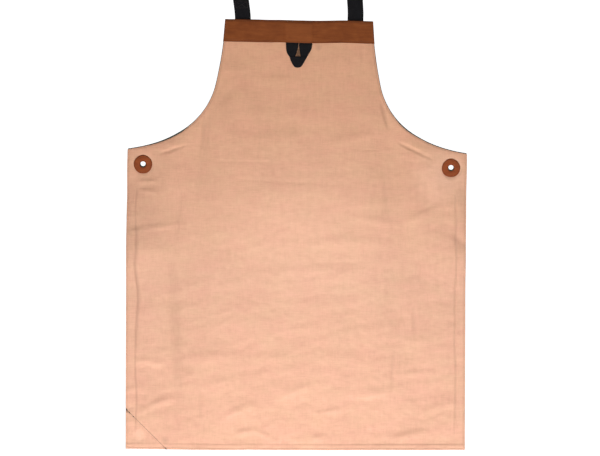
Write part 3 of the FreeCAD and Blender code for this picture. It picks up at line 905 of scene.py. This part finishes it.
class Cloth:
    """One canvas layer's grid of places, and where its front and its back lie."""

    def __init__(self, side, arm_inset, side_inset, hem_inset):
        self.side = side
        self.corner = corner_height(float(arm_inset(HALF, corner_height())), side_inset)
        self.columns = cloth_columns(MESH_STEP)
        self.rows = cloth_rows(-3.0, HEM + hem_inset, self.corner, MESH_STEP)
        self.arm_inset, self.side_inset = arm_inset, side_inset
        self.z = np.repeat(self.rows[:, None], len(self.columns), 1)
        columns = self.columns[None, :]
        self.x = half_width(self.z, arm_inset(columns, self.z), side_inset) * columns
        self.shift = DRAPE.at(self.x, self.z)
        self.away = edge_distance(self.x, self.z)
        self.outer, self.inner = self.surfaces()

    def from_side(self):
        """The distance in from the side, as the seam there wanders."""
        wander = 1.3 * np.sin(self.z / 41.0 + np.sign(self.x)) + 0.7 * np.sin(self.z / 17.0)
        wander += (self.x < 0) * (3.2 * bump(self.z, -505, 38) - 2.6 * bump(self.z, -592, 45))
        return HALF - np.abs(self.x) + wander

    def seam_length(self):
        """Where the side seams press through, from below the eyelets to near the hem."""
        down = -self.z
        return smooth(down, *SEAM_STARTS) * (1 - smooth(down, *SEAM_ENDS))

    def creased(self):
        """How dark the lines of painted shade are: the side seams, the hem's turned edge, the stitch
        rows and the creases.
        """
        lines = 0.9 * bump(self.from_side(), SEAM_LINE, 1.8) * self.seam_length()
        # painted shade: a second dark line beside the left seam, part way down
        seam_shade_span = (self.x < 0) * smooth(-self.z, 425, 445) * (1 - smooth(-self.z, 620, 700))
        lines += 0.55 * bump(self.from_side(), SEAM_SHADE_LINE, 3.0) * seam_shade_span
        lines += 0.30 * bump(self.z - HEM, HEM_STEP[1], 1.3)
        lines += 0.45 * bump(self.away, EDGE_ROW, 1.1)
        lines += 0.45 * bump(self.away, 4.8, 0.9) * smooth(self.z, self.corner - 8, self.corner + 8)
        upright = [fold for fold in GROOVES if abs(fold[0][0] - fold[1][0]) < 20]
        lines += 0.16 * folds(self.x, self.z, upright) + 0.14 * folds(self.x, self.z, GROOVES)
        return np.clip(lines, 0, 1)

    def relief(self):
        """The sewn shape on top of the hung shape: turned hems, stitch lines and seams."""
        x, z, away = self.x, self.z, self.away
        from_hem, from_side = z - HEM, self.from_side()
        turned = 0.7 * (1 - smooth(from_hem, *HEM_STEP))
        allowance = (1 - smooth(from_side, *SEAM_STEP)) * self.seam_length()
        puckers = 0.75 + 0.35 * np.sin(2 * math.pi * (x + z) / 9.0) * crumple(x, z, 30, 30, 21)
        row = 0.42 * bump(away, EDGE_ROW, 1.1) * puckers
        total = np.maximum(turned, allowance) - row
        total = total - 0.5 * bump(from_side, SEAM_GROOVE, 1.3) * self.seam_length()
        if self.side < 0:
            corner = 0.965 * (x + HALF) + from_hem
            slant = bump((corner - PATCH_LEG) / math.sqrt(2), 0, 1.6)
            patch = smooth(PATCH_LEG - corner, 0, 4)
            from_mark = np.hypot(x - MARK_X, from_hem - MARK_ABOVE_HEM)
            mark = smooth(MARK_RADIUS - from_mark, 0, 4.0)
            total = total - 0.6 * slant + 0.35 * patch - 0.8 * mark
            for ex, ez in EYELETS:
                press = smooth(np.hypot(x - ex, z - ez), WASHER_RADIUS - 3, WASHER_RADIUS + 9)
                total = total - 0.5 * (1 - press)
        return total

    def surfaces(self):
        """The layer's outer face and its hidden face."""
        flat = np.stack([self.x, np.zeros_like(self.x), self.z], 2)
        free = smooth(BAND_LOW - self.z, -3, 30)
        creased = np.ones_like(self.x)
        for ex, ez in EYELETS:
            from_eyelet = np.hypot(self.x - ex, self.z - ez)
            free *= smooth(from_eyelet, 16, 80)
            creased *= smooth(from_eyelet, WASHER_RADIUS - 2, WASHER_RADIUS + 4)
        creased *= smooth(BAND_LOW - self.z, -2, 6)
        shift = self.shift * free[..., None]
        shift[:, :, 1] -= creases(self.x, self.z) * creased
        sag = smooth(-self.z, 300, -HEM) * (1 - (self.x / HALF) ** 2)
        shift[:, :, 2] -= 1.6 * sag
        middle = flat + shift
        round_edge = rounded(self.away, 1.2)
        outer, inner = middle.copy(), middle.copy()
        thickness = CANVAS * (0.12 + 0.88 * round_edge)
        outer[:, :, 1] += self.side * (thickness + self.relief() * round_edge)
        inner[:, :, 1] += self.side * LAYER_GAP
        return outer, inner

    def without_eyelets(self, radius, lift):
        """The grid's quads that are left round the two holes, with each hole made round."""
        quads = grid_quads(*self.x.shape)
        x, z = self.x.ravel(), self.z.ravel()
        for ex, ez in EYELETS:
            ez = ez + lift
            cx, cz = x[quads].mean(1), z[quads].mean(1)
            hole = np.hypot(cx - ex, cz - ez) < radius
            rim = np.intersect1d(quads[hole], quads[~hole])
            quads = quads[~hole]
            angle = np.arctan2(z[rim] - ez, x[rim] - ex)
            step_x = ex + radius * np.cos(angle) - x[rim]
            step_z = ez + radius * np.sin(angle) - z[rim]
            for surface in (self.outer, self.inner):
                surface.reshape(-1, 3)[rim, 0] += step_x
                surface.reshape(-1, 3)[rim, 2] += step_z
        return quads

    def piece(self, name, material, hole_radius, lift=0.0):
        """The layer as one closed mesh. lift raises the two holes' centres."""
        quads = self.without_eyelets(hole_radius, lift)
        points, faces, used = thick_sheet(self.outer, self.inner, self.side, quads)
        flat = np.stack([self.x.ravel(), self.z.ravel()], 1)[used]
        # creased() gives the painted shade along the seams, the hem step, the stitch rows and the
        # creases
        edge, wear_and_shade = (np.tile(part.ravel()[used], 2) for part in (self.away, self.creased()))
        made = mesh_object(name, points, faces, material, np.tile(flat, (2, 1)), edge, wear_and_shade)
        bends = np.abs(flat[:, 1] - FOLD) < FULL_MESH_NEAR_FOLD
        hidden = np.where((edge[: len(used)] > 3) & ~bends)[0] + len(used)
        thin_out(made, hidden.tolist())
        return made

    def on_face(self, path, lift=0.0):
        """Points on the layer's outer face above (x, z) places of the flat cloth."""
        path = np.asarray(path, float)
        width = half_width(path[:, 1], self.arm_inset(path[:, 0], path[:, 1]), self.side_inset)
        share = np.clip(path[:, 0] / width, -1, 1)
        at_c = np.interp(share, self.columns, np.arange(len(self.columns)))
        at_r = np.interp(-path[:, 1], -self.rows, np.arange(len(self.rows)))
        c = np.clip(np.floor(at_c).astype(int), 0, len(self.columns) - 2)
        r = np.clip(np.floor(at_r).astype(int), 0, len(self.rows) - 2)
        a, b = (at_c - c)[:, None], (at_r - r)[:, None]
        grid = self.outer
        found = (grid[r, c] * (1 - a) + grid[r, c + 1] * a) * (1 - b)
        found = found + (grid[r + 1, c] * (1 - a) + grid[r + 1, c + 1] * a) * b
        found[:, 1] += self.side * lift
        return found


def across_waist(obj):
    """Bakes the piece's place into its mesh; the bend from the bib to the skirt over 60 mm at the
    waist is not made here.
    """
    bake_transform(obj)


MESH_STEP = 3.2
DRAPE = Drape()
face = Cloth(-1, face_inset, 0.0, 0.0)
backing = Cloth(1, no_inset, 0.7, 0.7)


def make_cloth():
    made = face.piece("face_cloth", FACE, EYELET_RADIUS + 0.5)
    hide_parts("bib_face", "skirt_face")
    made_back = backing.piece("backing_cloth", BACKING, EYELET_RADIUS - 0.8, 1.8)
    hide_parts("bib_back", "skirt_back")
    for cloth in (made, made_back):
        across_waist(cloth)


make_cloth()

# ---------------------------------------------------------------- rows of stitches on the cloth

TO_FRONT, TO_BACK = (0, -1, 0), (0, 1, 0)
# Thread ends that stand out of the corner row, as (x, z) from the lower left corner.
THREAD_ENDS = (
    (0.8, 80.5), (1.6, 82.0), (2.4, 77.0), (6.5, 76.0), (15.5, 67.5), (81.5, 2.4), (83.0, 1.2),
)


def cloth_rows_of_stitches():
    """The row round the apron's edge, through both layers, and the slanting corner row."""
    right = edge_path(EDGE_ROW, BAND_LOW - 1)
    loop = np.concatenate([right, right[::-1] * (-1, 1)])
    path, _ = resampled(loop, 1.0)
    rows = [(face.on_face(path), TO_FRONT), (backing.on_face(path), TO_BACK)]
    edge = stitches("edge_stitches", rows, TAN_THREAD, pitch=2.7, length=2.2, radius=0.24)
    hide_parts("bib_edge_stitching", "skirt_edge_stitching")
    across_waist(edge)
    slant = np.array([(0.6 - HALF, HEM + PATCH_LEG + 0.5), (PATCH_LEG + 2.2 - HALF, HEM + 0.8)])
    path, _ = resampled(slant, 1.0)
    rows = [(face.on_face(path, 0.06), TO_FRONT)]
    corner = stitches("corner_stitches", rows, DARK_THREAD, 2.2, 1.9, 0.33, seed=3)
    belongs(corner, "dark_thread", "skirt", "corner_stitching")
    rows = []
    for x, z in THREAD_ENDS:
        start = np.array((x - HALF, z + HEM))
        run = np.array([start, start + (1.8, -1.5)])
        rows.append((face.on_face(run, 0.2), TO_FRONT))
    ends = stitches("corner_thread_ends", rows, DARK_THREAD, 2.0, 3.0, 0.8, seed=4)
    belongs(ends, "dark_thread", "skirt")


cloth_rows_of_stitches()

# ---------------------------------------------------------------- leather


LEATHER_ROUND = 1.1


def band_half(z):
    """Half the band's width at a height."""
    return BAND_HALF_TOP + (BAND_HALF_LOW - BAND_HALF_TOP) * z / BAND_LOW


def band_strip(name, side, seed, bulges, node):
    """One leather strip of the bib's top band. It swells over the webbing ends inside it."""
    near_edge = 1 - np.array([0.4, 1, 2, 3]) / BAND_HALF_LOW
    shares = distinct(np.concatenate([np.linspace(-1, 1, 121), near_edge, -near_edge]))
    insets = (0, 0.4, 1, 2, 3, 4, 5, 7, 10, 14, 18, 22)
    heights = distinct([-d for d in insets] + [BAND_LOW + d for d in insets])[::-1]
    z = np.repeat(heights[:, None], len(shares), 1)
    half = band_half(z)
    x = half * shares[None, :]
    away = np.minimum(np.minimum(-z, z - BAND_LOW), half - np.abs(x))
    wavy = 0.25 * crumple(x, np.full_like(z, -20.0), 60, 60, seed)
    wavy = wavy - 1.1 * bump(x, 20, 42) + 0.5 * bump(x, 92, 20)
    swell = sum(1.5 * smooth(16 + reach - np.abs(x - at), 12, 19) for at, reach in bulges)
    swell = swell * smooth(-z, 1.0, 9.0)
    pinch = 1 - smooth(-z, 0.5, 5.0)
    surface = 0.2 * crumple(x, z, 25, 10, seed + 1) + 0.35 * crumple(x, z, 70, 30, seed + 2)
    row = 0.32 * bump(away, EDGE_ROW, 0.9)
    round_edge = rounded(away, LEATHER_ROUND)
    base = CANVAS + 0.1 + swell - pinch + 0.25 * surface * smooth(away, 0, 8)
    thick = LEATHER * (0.25 + 0.75 * round_edge)
    front = np.stack([x, side * (base + thick - row * round_edge), z + wavy], 2)
    back = np.stack([x, side * (base + LEATHER * 0.25 * (1 - round_edge)), z + wavy], 2)
    points, faces, used = thick_sheet(front, back, side)
    flat = np.stack([x.ravel(), z.ravel() + 500 * seed], 1)[used]
    edge = np.concatenate([away.ravel()[used], np.zeros(len(used))])
    raised = np.tile((swell / 1.5).ravel()[used], 2)
    made = mesh_object(name, points, faces, LEATHER_BROWN, np.tile(flat, (2, 1)), edge, raised)
    belongs(made, "leather", "bib", node)
    return front, shares, heights


def on_band(grid, shares, heights, path, side):
    """Points on a band strip's face."""
    path = np.asarray(path, float)
    share = path[:, 0] / band_half(path[:, 1])
    c = np.clip(np.searchsorted(shares, share), 1, len(shares) - 1)
    r = np.clip(np.searchsorted(-heights, -path[:, 1]), 1, len(heights) - 1)
    found = np.column_stack([path[:, 0], grid[r, c, 1], path[:, 1] + grid[r, c, 2] - heights[r]])
    found[:, 1] += side * 0.05
    return found


def band_outline(inset):
    top, low = BAND_HALF_TOP - inset, BAND_HALF_LOW - inset
    corners = [(-top, -inset), (top, -inset), (low, BAND_LOW + inset), (-low, BAND_LOW + inset)]
    return resampled(np.array(corners + corners[:1]), 1.0)[0]


def box_tack(x, z, half_x, half_z):
    """A box with a cross in it, as one path."""
    corners = [(-1, -1), (1, -1), (1, 1), (-1, 1), (-1, -1), (1, 1), (1, -1), (-1, 1)]
    return resampled([(x + half_x * a, z + half_z * b) for a, b in corners], 1.0)[0]


def make_band():
    front = band_strip("leather_band_front", -1, 31, ((0.0, 27.0),), "band_front")
    bulges = tuple((side * STRAP_X, STRAP_WIDTH / 2) for side in (-1, 1))
    back = band_strip("leather_band_back", 1, 41, bulges, "band_back")
    path = band_outline(EDGE_ROW)
    rows = [(on_band(*front, path, -1), TO_FRONT), (on_band(*back, path, 1), TO_BACK)]
    made = stitches("band_stitches", rows, BROWN_THREAD, pitch=3.0, length=2.4, radius=0.27, seed=5)
    belongs(made, "tan_thread", "bib", "band_stitching")
    boxes = [box_tack(side * STRAP_X, BAND_LOW / 2, 12, 10) for side in (-1, 1)]
    rows = [(on_band(*back, path, 1), TO_BACK) for path in boxes]
    tacks = stitches("strap_end_stitches", rows, DARK_THREAD, 2.6, 2.1, 0.3, seed=6)
    belongs(tacks, "dark_thread", "bib", "strap_end_tacks")


# The washer's section: shares of the way from the hole to the rim, and heights off the cloth.
SEAM_SHARE, SEAM_HIGH = 0.70, 1.42
WASHER_SECTION = (
    (0.0, 0.15), (0.0, 0.95), (0.04, 1.3), (0.1, 1.5), (0.3, 1.62), (0.6, 1.66),
    (SEAM_SHARE, SEAM_HIGH), (0.80, 1.6), (0.93, 1.5), (0.98, 1.15), (1.0, 0.7), (0.985, 0.1),
    (0.5, 0.0),
)


def make_washer(side, at, seed):
    """A hand-cut leather ring: its rim is not quite round and its face is slightly domed."""
    name = f"{side}_leather_ring"
    x, z = at
    rng = np.random.default_rng(seed)
    turns = np.linspace(0, 2 * math.pi, 96, endpoint=False)
    waves = (rng.normal(0, 0.38 / k) * np.cos(k * turns + rng.uniform(0, 6)) for k in (2, 3, 5, 7))
    rim = WASHER_RADIUS + sum(waves)
    seat = face.on_face(np.array([at]) + (0, 12.0))[0, 1] - 0.05
    points, flats, edges = [], [], []
    for share, high in WASHER_SECTION:
        radius = EYELET_RADIUS + share * (rim - EYELET_RADIUS)
        px, pz = x + radius * np.cos(turns), z + radius * np.sin(turns)
        points.append(np.stack([px, np.full_like(px, seat - high), pz], 1))
        flats.append(np.stack([px + 40 * seed, pz], 1))
        edges.append(np.minimum(radius - EYELET_RADIUS, rim - radius))
    faces = tube_quads(len(WASHER_SECTION), len(turns), closed=True)
    points, flats, edges = (np.concatenate(part) for part in (points, flats, edges))
    made = mesh_object(name, points, faces, RING_LEATHER, flats, edges, np.full(len(edges), 0.4))
    belongs(made, "leather", "bib", f"{side}_washer")
    middle = EYELET_RADIUS + SEAM_SHARE * (rim - EYELET_RADIUS)
    ring = np.stack([x + middle * np.cos(turns), z + middle * np.sin(turns)], 1)
    ring = np.concatenate([ring, ring[:1]])
    front = np.stack([ring[:, 0], np.full(len(ring), seat - SEAM_HIGH), ring[:, 1]], 1)
    rows = [(front, TO_FRONT), (backing.on_face(ring), TO_BACK)]
    sewn = stitches(f"{name}_stitches", rows, BROWN_THREAD, 2.6, 2.1, 0.26, seed=seed)
    belongs(sewn, "tan_thread", "bib", f"{side}_washer_stitching")


def make_corner_patch():
    """The leather triangle on the far side, with its rows of stitches."""
    inset, count = 4.0, 40
    shares = np.linspace(0, 1, count)
    share_a, share_b = np.meshgrid(shares, shares, indexing="ij")
    reach = PATCH_LEG - 3 * inset
    x = inset + reach * share_b * (1 - share_a)
    z = inset + reach * share_a
    away = np.minimum(np.minimum(x - inset, z - inset), (PATCH_LEG - inset - x - z) / math.sqrt(2))
    round_edge = rounded(away, LEATHER_ROUND)
    places = np.stack([x - HALF, z + HEM], 2).reshape(-1, 2)
    seat = backing.on_face(places, 0.05)
    front = seat.copy()
    lumps = 0.15 * crumple(places[:, 0], places[:, 1], 20, 20, 51)
    front[:, 1] += LEATHER * (0.15 + 0.85 * round_edge.ravel()) + lumps * round_edge.ravel()
    points, faces, used = thick_sheet(front, seat, -1, grid_quads(count, count))
    flat = np.tile(places[used], (2, 1))
    edge = np.tile(away.ravel()[used], 2)
    made = mesh_object("leather_corner", points, faces, LEATHER_BROWN, flat, edge)
    belongs(made, "leather", "skirt", "corner_patch")
    low, high = inset + 3.0, PATCH_LEG - 2.2 * inset
    triangle = np.array([(low, low), (high - low, low), (low, high - low), (low, low)])
    path = resampled(triangle + (-HALF, HEM), 1.0)[0]
    lifted = backing.on_face(path, LEATHER + 0.1)
    sewn = stitches("corner_patch_stitches", [(lifted, TO_BACK)], DARK_THREAD, 2.8, 2.2, 0.3, 7)
    belongs(sewn, "dark_thread", "skirt")


make_band()
make_washer("left", EYELETS[0], 2)
make_washer("right", EYELETS[1], 9)
make_corner_patch()

# ---------------------------------------------------------------- webbing

RING_LOW, RING_HIGH, RING_ROD = 52.0, 63.2, 1.6
# the clearance between webbing and metal
PLAY = 0.15
RING_Y = CANVAS + WEBBING + PLAY + RING_ROD
RING_BEND = RING_ROD + PLAY + WEBBING / 2
SLIDER_Z, SLIDER_BAR = 84.0, 1.2
SLIDER_LOW = SLIDER_Z - 12.0
SLIDER_Y = CANVAS + 2 * WEBBING + 0.25 + PLAY + SLIDER_BAR
SLIDER_BEND = SLIDER_BAR + PLAY + WEBBING / 2
STRAIGHT = 140.0
# where the straps end, under the band
SEWN_UNDER = -40


def bend(y, z, radius, start, stop, count=14):
    """Points on the left leg round a bar along X at (y, z), with the way out of each. The angles
    run from +Y towards +Z."""
    angles = np.radians(np.linspace(start, stop, count))
    out = np.stack([np.zeros(count), np.cos(angles), np.sin(angles)], 1)
    return out * radius + (-STRAP_X, y, z), out


def upright(x, y, low, high, out, step=3.0):
    """A straight run along Z, from low to high, as points and their outward directions."""
    heights = np.array(spread_between(low, high, step))
    points = np.stack([np.full_like(heights, x), np.full_like(heights, y), heights], 1)
    return points, np.tile(np.array(out, float), (len(heights), 1))


def arch():
    """The strap behind the neck, from the right leg's top to the left leg's top."""
    leg_top, leg_pull = (STRAP_X, STRAP_Y, STRAIGHT), (STRAP_X, STRAP_Y, NECK_Z + 10)
    neck, neck_pull = (0, NECK_Y, NECK_Z), (0.7 * STRAP_X, NECK_Y, NECK_Z + 4)
    poles = np.array([leg_top, leg_pull, neck_pull, neck])
    t = np.linspace(0, 1, 60)[:, None]
    weights = np.concatenate([(1 - t) ** 3, 3 * t * (1 - t) ** 2, 3 * t**2 * (1 - t), t**3], 1)
    right = weights @ poles
    turn = math.pi * t[:, 0]
    out = np.stack([0.45 * np.sin(turn), -np.cos(turn), 0.9 * np.sin(turn)], 1)
    left, left_out = right[-2::-1] * (-1, 1, 1), out[-2::-1] * (-1, 1, 1)
    return np.concatenate([right, left]), np.concatenate([out, left_out])


def joined(*runs):
    """One path from several runs, each (points, outward). A point met twice is kept once."""
    points = np.concatenate([run[0] for run in runs])
    out = np.concatenate([run[1] for run in runs])
    keep = np.concatenate([[True], np.linalg.norm(np.diff(points, axis=0), axis=1) > 0.2])
    return points[keep], out[keep]


def flat_strip(name, points, out, node_list, width=STRAP_WIDTH + 0.8):
    """A webbing strip along a path, its width square to the path and to its outward side."""
    across, outward = frames_along(points, out)
    made = ribbon(name, points, across, outward, width, WEBBING, BLACK_WEBBING)
    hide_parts(*node_list)
    return made


def across_band(obj):
    """Bakes the piece's place into its mesh; the webbing's bend between the neck strap and the bib
    just above the band is not made here.
    """
    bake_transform(obj)


def sway(points, amount, seed):
    """Small sideways and in-and-out waves in the right leg. The left one runs in the slider."""
    z = points[:, 2]
    ease = smooth(z, 2, 20) * (1 - smooth(z, 120, 150)) * (points[:, 0] > 0)
    moved = points.copy()
    moved[:, 0] += amount * ease * np.sin(z / 17.0 + seed)
    moved[:, 1] += 0.5 * amount * ease * np.sin(z / 13.0 + 2 * seed)
    return moved


def make_neck_strap():
    """The long strap: sewn in on the right, over the neck, down to the ring and round its bar."""
    right = upright(STRAP_X, STRAP_Y, SEWN_UNDER, STRAIGHT, TO_FRONT)
    left = upright(-STRAP_X, STRAP_Y, STRAIGHT, RING_HIGH, TO_FRONT)
    turn = bend(RING_Y, RING_HIGH, RING_BEND, 180, 360)
    rear = upright(-STRAP_X, RING_Y + RING_BEND, RING_HIGH, SLIDER_LOW - 3, TO_BACK, 1.5)
    points, out = joined(right, arch(), left, turn, rear)
    points = sway(points, 0.5, 1.0)
    made = flat_strip("neck_webbing", points, out, ["neck_strap", "right_strap_end", "strap_fold"])
    across_band(made)


def standing(path, y):
    """An (x, z) path as points at one depth."""
    return np.column_stack([path[:, 0], np.full(len(path), y), path[:, 1]])


def make_tab():
    """The short tab: sewn in on the left, up round the ring's lower bar, and down again."""
    front = upright(-STRAP_X, STRAP_Y, SEWN_UNDER, RING_LOW, TO_FRONT)
    turn = bend(RING_Y, RING_LOW, RING_BEND, 180, 0)
    rear = upright(-STRAP_X, RING_Y + RING_BEND, RING_LOW, 22, TO_BACK, 2.0)
    closed = STRAP_Y + WEBBING + 0.05
    near = smooth(rear[0][:, 2], 40, RING_LOW)
    rear[0][:, 1] = closed + (RING_Y + RING_BEND - closed) * near
    points, out = joined(front, turn, rear)
    made = flat_strip("tab_webbing", points, out, ["strap_tab", "left_strap_end"])
    across_band(made)
    path = box_tack(-STRAP_X, 31.0, 12, 7)
    sides = ((STRAP_Y - WEBBING / 2, TO_FRONT), (closed + WEBBING / 2, TO_BACK))
    rows = [(standing(path, y), out) for y, out in sides]
    sewn = stitches("tab_stitches", rows, DARK_THREAD, 2.6, 2.1, 0.28, seed=8)
    belongs(sewn, "dark_thread", "neck_strap", "tab_tack")


def make_slider_loop():
    """The strap's end: from the ring up behind the slider, over its bar, and sewn down."""
    rear = upright(-STRAP_X, SLIDER_Y + SLIDER_BEND, SLIDER_LOW - 6, SLIDER_Z, TO_BACK, 1.5)
    lean = 1 - smooth(rear[0][:, 2], SLIDER_LOW - 6, SLIDER_Z - 2)
    rear[0][:, 1] += (RING_Y + RING_BEND - SLIDER_Y - SLIDER_BEND) * lean
    turn = bend(SLIDER_Y, SLIDER_Z, SLIDER_BEND, 0, 180)
    front = upright(-STRAP_X, SLIDER_Y - SLIDER_BEND, SLIDER_Z, SLIDER_LOW + 4, TO_FRONT, 1.5)
    points, out = joined(rear, turn, front)
    made = flat_strip("strap_end_webbing", points, out, ["slider_loop"], width=STRAP_WIDTH - 0.6)
    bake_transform(made)
    path = resampled([(-STRAP_X - 13, SLIDER_Z - 7.5), (-STRAP_X + 13, SLIDER_Z - 7.5)], 1.0)[0]
    row = standing(path, SLIDER_Y + SLIDER_BEND + WEBBING / 2 - 0.25)
    sewn = stitches("strap_end_row", [(row, TO_BACK)], DARK_THREAD, 2.6, 2.1, 0.28, seed=9)
    belongs(sewn, "dark_thread", "strap_slider")


def loop_outline(down, side):
    """The hang loop's outer edge, and the inner edge of its leg, at a depth below the band."""
    if side < 0:
        depths = (0, 14.6, 23, 27, 30, 35, 43.6, 50)
        outer = (-26.5, -25.9, -23.9, -20.8, -18.4, -16.7, -13.1, -8.2)
        inner = np.interp(down, (7.5, 29, 46), (-0.35, -6.8, -3.0))
    else:
        depths = (0, 8.6, 15.7, 25, 33, 43.6, 50)
        outer = (27.8, 27.4, 25.3, 19.9, 15.6, 9.4, 5.2)
        inner = np.interp(down, (7.5, 29, 46), (0.35, 4.4, -2.0))
    return np.interp(down, depths, outer), inner


def loop_leg(name, side):
    """One leg of the hang loop, from inside the band to behind the fold at its point."""
    down = np.arange(-30.0, 45.0, 1.3)[:, None]
    outer, inner = loop_outline(down, side)
    soft = np.ones(5) / 5
    outer[3:-3, 0] = np.convolve(outer[:, 0], soft, "same")[3:-3]
    lie = np.linspace(0, 1, 19)[None, :]
    x = outer + (inner - outer) * lie
    z = BAND_LOW - down + 0 * lie
    clear = smooth(down, -4, 7)
    crown = np.sqrt(np.clip(1 - np.abs(2 * lie - 1) ** 9, 0, 1))
    curl = 0.7 * bump(down, 20, 9) * (1 - lie) ** 3 + 0.5 * bump(down, 12, 7) * lie**4
    lumps = 0.25 * crumple(x, z, 12, 7, 61 + side) * clear
    seat = CANVAS + 1.5 * clear + curl + lumps
    front = np.stack([x, -(seat + WEBBING * (0.5 + 0.5 * crown)), z], 2)
    back = np.stack([x, -(seat + WEBBING * (0.5 - 0.5 * crown)), z], 2)
    points, faces, used = thick_sheet(front, back, side)
    flat = np.stack([np.abs(x), z], 2).reshape(-1, 2)[used]
    return mesh_object(name, points, faces, BLACK_WEBBING, np.tile(flat, (2, 1)))


def loop_fold():
    """The folded webbing below the eye: a flat pad that narrows to the loop's rounded point."""
    depths = np.array((29.0, 32.0, 36.0, 40.0, 44.0, 47.5, 50.0))
    left = np.stack([loop_outline(depths, -1)[0] - 0.3, depths], 1)
    right = np.stack([loop_outline(depths, 1)[0] + 0.3, depths], 1)
    tip = np.array([(-6.3, 51.4), (-3.2, 52.0), (0.2, 51.8), (3.2, 51.1)])
    outline = np.concatenate([left, tip, right[::-1], left[:1]])
    path = resampled(outline * (1, -1), 0.9)[0][:-1]
    centre = np.array((-1.2, -38.5))
    seat, top = CANVAS + 2.6, 1.75
    layers = ((1.0, 0.3), (1.0, 1.0), (0.975, 1.45), (0.93, 1.6), (0.8, 1.65), (0.6, 1.7), (0.3, top))
    points, flats = [], []
    for share, high in layers:
        ring = centre + (path - centre) * share
        ripple = np.sin((ring[:, 0] + 0.8 * ring[:, 1]) / 2.4) * (share < 0.95)
        y = -(seat + high + 0.16 * share * ripple)
        points.append(np.stack([ring[:, 0], y, ring[:, 1] + BAND_LOW], 1))
        flats.append(ring @ np.array([[0.9, 0.44], [-0.44, 0.9]]) + (60, 0))
    points.append(np.array([[centre[0], -(seat + top), centre[1] + BAND_LOW]]))
    flats.append(np.array([centre + (60, 0)]))
    count = len(path)
    faces = tube_quads(len(layers), count)
    inner, apex = (len(layers) - 1) * count, len(layers) * count
    faces += [(inner + i, inner + (i + 1) % count, apex) for i in range(count)]
    faces.append(tuple(range(count))[::-1])
    points, flats = np.concatenate(points), np.concatenate(flats)
    return mesh_object("hang_loop_fold", points, faces, BLACK_WEBBING, flats)


def make_hang_loop():
    """Two legs of webbing that meet at a folded point, with an eye between them."""
    parts = [loop_leg("hang_loop_left", -1), loop_leg("hang_loop_right", 1), loop_fold()]
    for obj in parts:
        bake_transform(obj)
    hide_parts("hang_loop_end")
    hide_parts("hang_loop")


make_neck_strap()
make_tab()
make_slider_loop()
make_hang_loop()

for node in ("strap_ring", "strap_slider"):
    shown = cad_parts[node]
    shown.data.materials.clear()
    shown.data.materials.append(NICKEL)

# ---------------------------------------------------------------- camera, light and stage


def area_light(name, at, target, size, power, colour=(1, 1, 1)):
    light = bpy.data.lights.new(name, "AREA")
    light.shape = "RECTANGLE"
    light.size, light.size_y = size
    light.energy = power
    light.color = colour
    lamp = bpy.data.objects.new(name, light)
    lamp.location = at
    lamp.visible_camera = False
    lamp.rotation_euler = (Vector(target) - Vector(at)).to_track_quat("-Z", "Y").to_euler()
    bpy.context.scene.collection.objects.link(lamp)


def make_camera():
    """A long lens, level with the middle of the cloth, turned a little as the apron hangs."""
    view_width, lens, sensor = 1.2356, 85.0, 36.0
    middle_x, middle_below_top, roll = 0.0085, 0.4281, -0.2
    data = bpy.data.cameras.new("camera")
    data.lens, data.sensor_width = lens, sensor
    camera = bpy.data.objects.new("camera", data)
    away = view_width * lens / sensor
    camera.location = (middle_x, CLOTH_Y - away, TOP - middle_below_top)
    camera.rotation_euler = (math.radians(90), math.radians(roll), 0)
    bpy.context.scene.collection.objects.link(camera)
    bpy.context.scene.camera = camera


def stage_material(name, colour, glow):
    material = bpy.data.materials.new(name)
    material.use_nodes = True
    shader = material.node_tree.nodes["Principled BSDF"]
    shader.inputs["Base Color"].default_value = (*colour, 1)
    shader.inputs["Roughness"].default_value = 1.0
    shader.inputs["Emission Color"].default_value = (*colour, 1)
    shader.inputs["Emission Strength"].default_value = glow
    return material


def make_stage():
    """A white studio shell that gives the picture its background but no light, and a pale floor."""
    centre = Vector((0, CLOTH_Y, TOP - 0.43))
    bpy.ops.mesh.primitive_uv_sphere_add(segments=48, ring_count=24, radius=9, location=centre)
    shell = bpy.context.object
    shell.name = "studio_shell"
    shell.data.materials.append(stage_material("studio_white", (1, 1, 1), 1.0))
    shell.visible_diffuse = False
    shell.visible_shadow = False
    bpy.ops.mesh.primitive_circle_add(
        vertices=96, radius=0.75, fill_type="NGON", location=(0, CLOTH_Y, TOP + HEM * MM - 0.18)
    )
    floor = bpy.context.object
    floor.name = "studio_floor"
    floor.visible_shadow = False
    floor.data.materials.append(stage_material("pale_floor", (0.86, 0.86, 0.85), 0.0))
    world = bpy.data.worlds.new("studio")
    world.use_nodes = True
    world.node_tree.nodes["Background"].inputs["Color"].default_value = (1, 1, 1, 1)
    world.node_tree.nodes["Background"].inputs["Strength"].default_value = 0.12
    bpy.context.scene.world = world
    bpy.context.scene.view_settings.view_transform = "Standard"


make_camera()
make_stage()
area_light("low_key", (0.1, -1.4, -2.6), (0, CLOTH_Y, -0.75), (1.6, 0.7), 56, (0.90, 1.0, 1.13))
area_light("near_fill", (0.05, -1.3, -0.75), (0.02, CLOTH_Y, -0.75), (0.5, 0.5), 7.5)
area_light("left_rake", (-2.3, -1.3, -0.7), (0, CLOTH_Y, -0.7), (0.5, 1.6), 7)
area_light("back_fill", (-1.2, 2.6, 0.4), (0, CLOTH_Y, -0.5), (2.2, 2.0), 45)
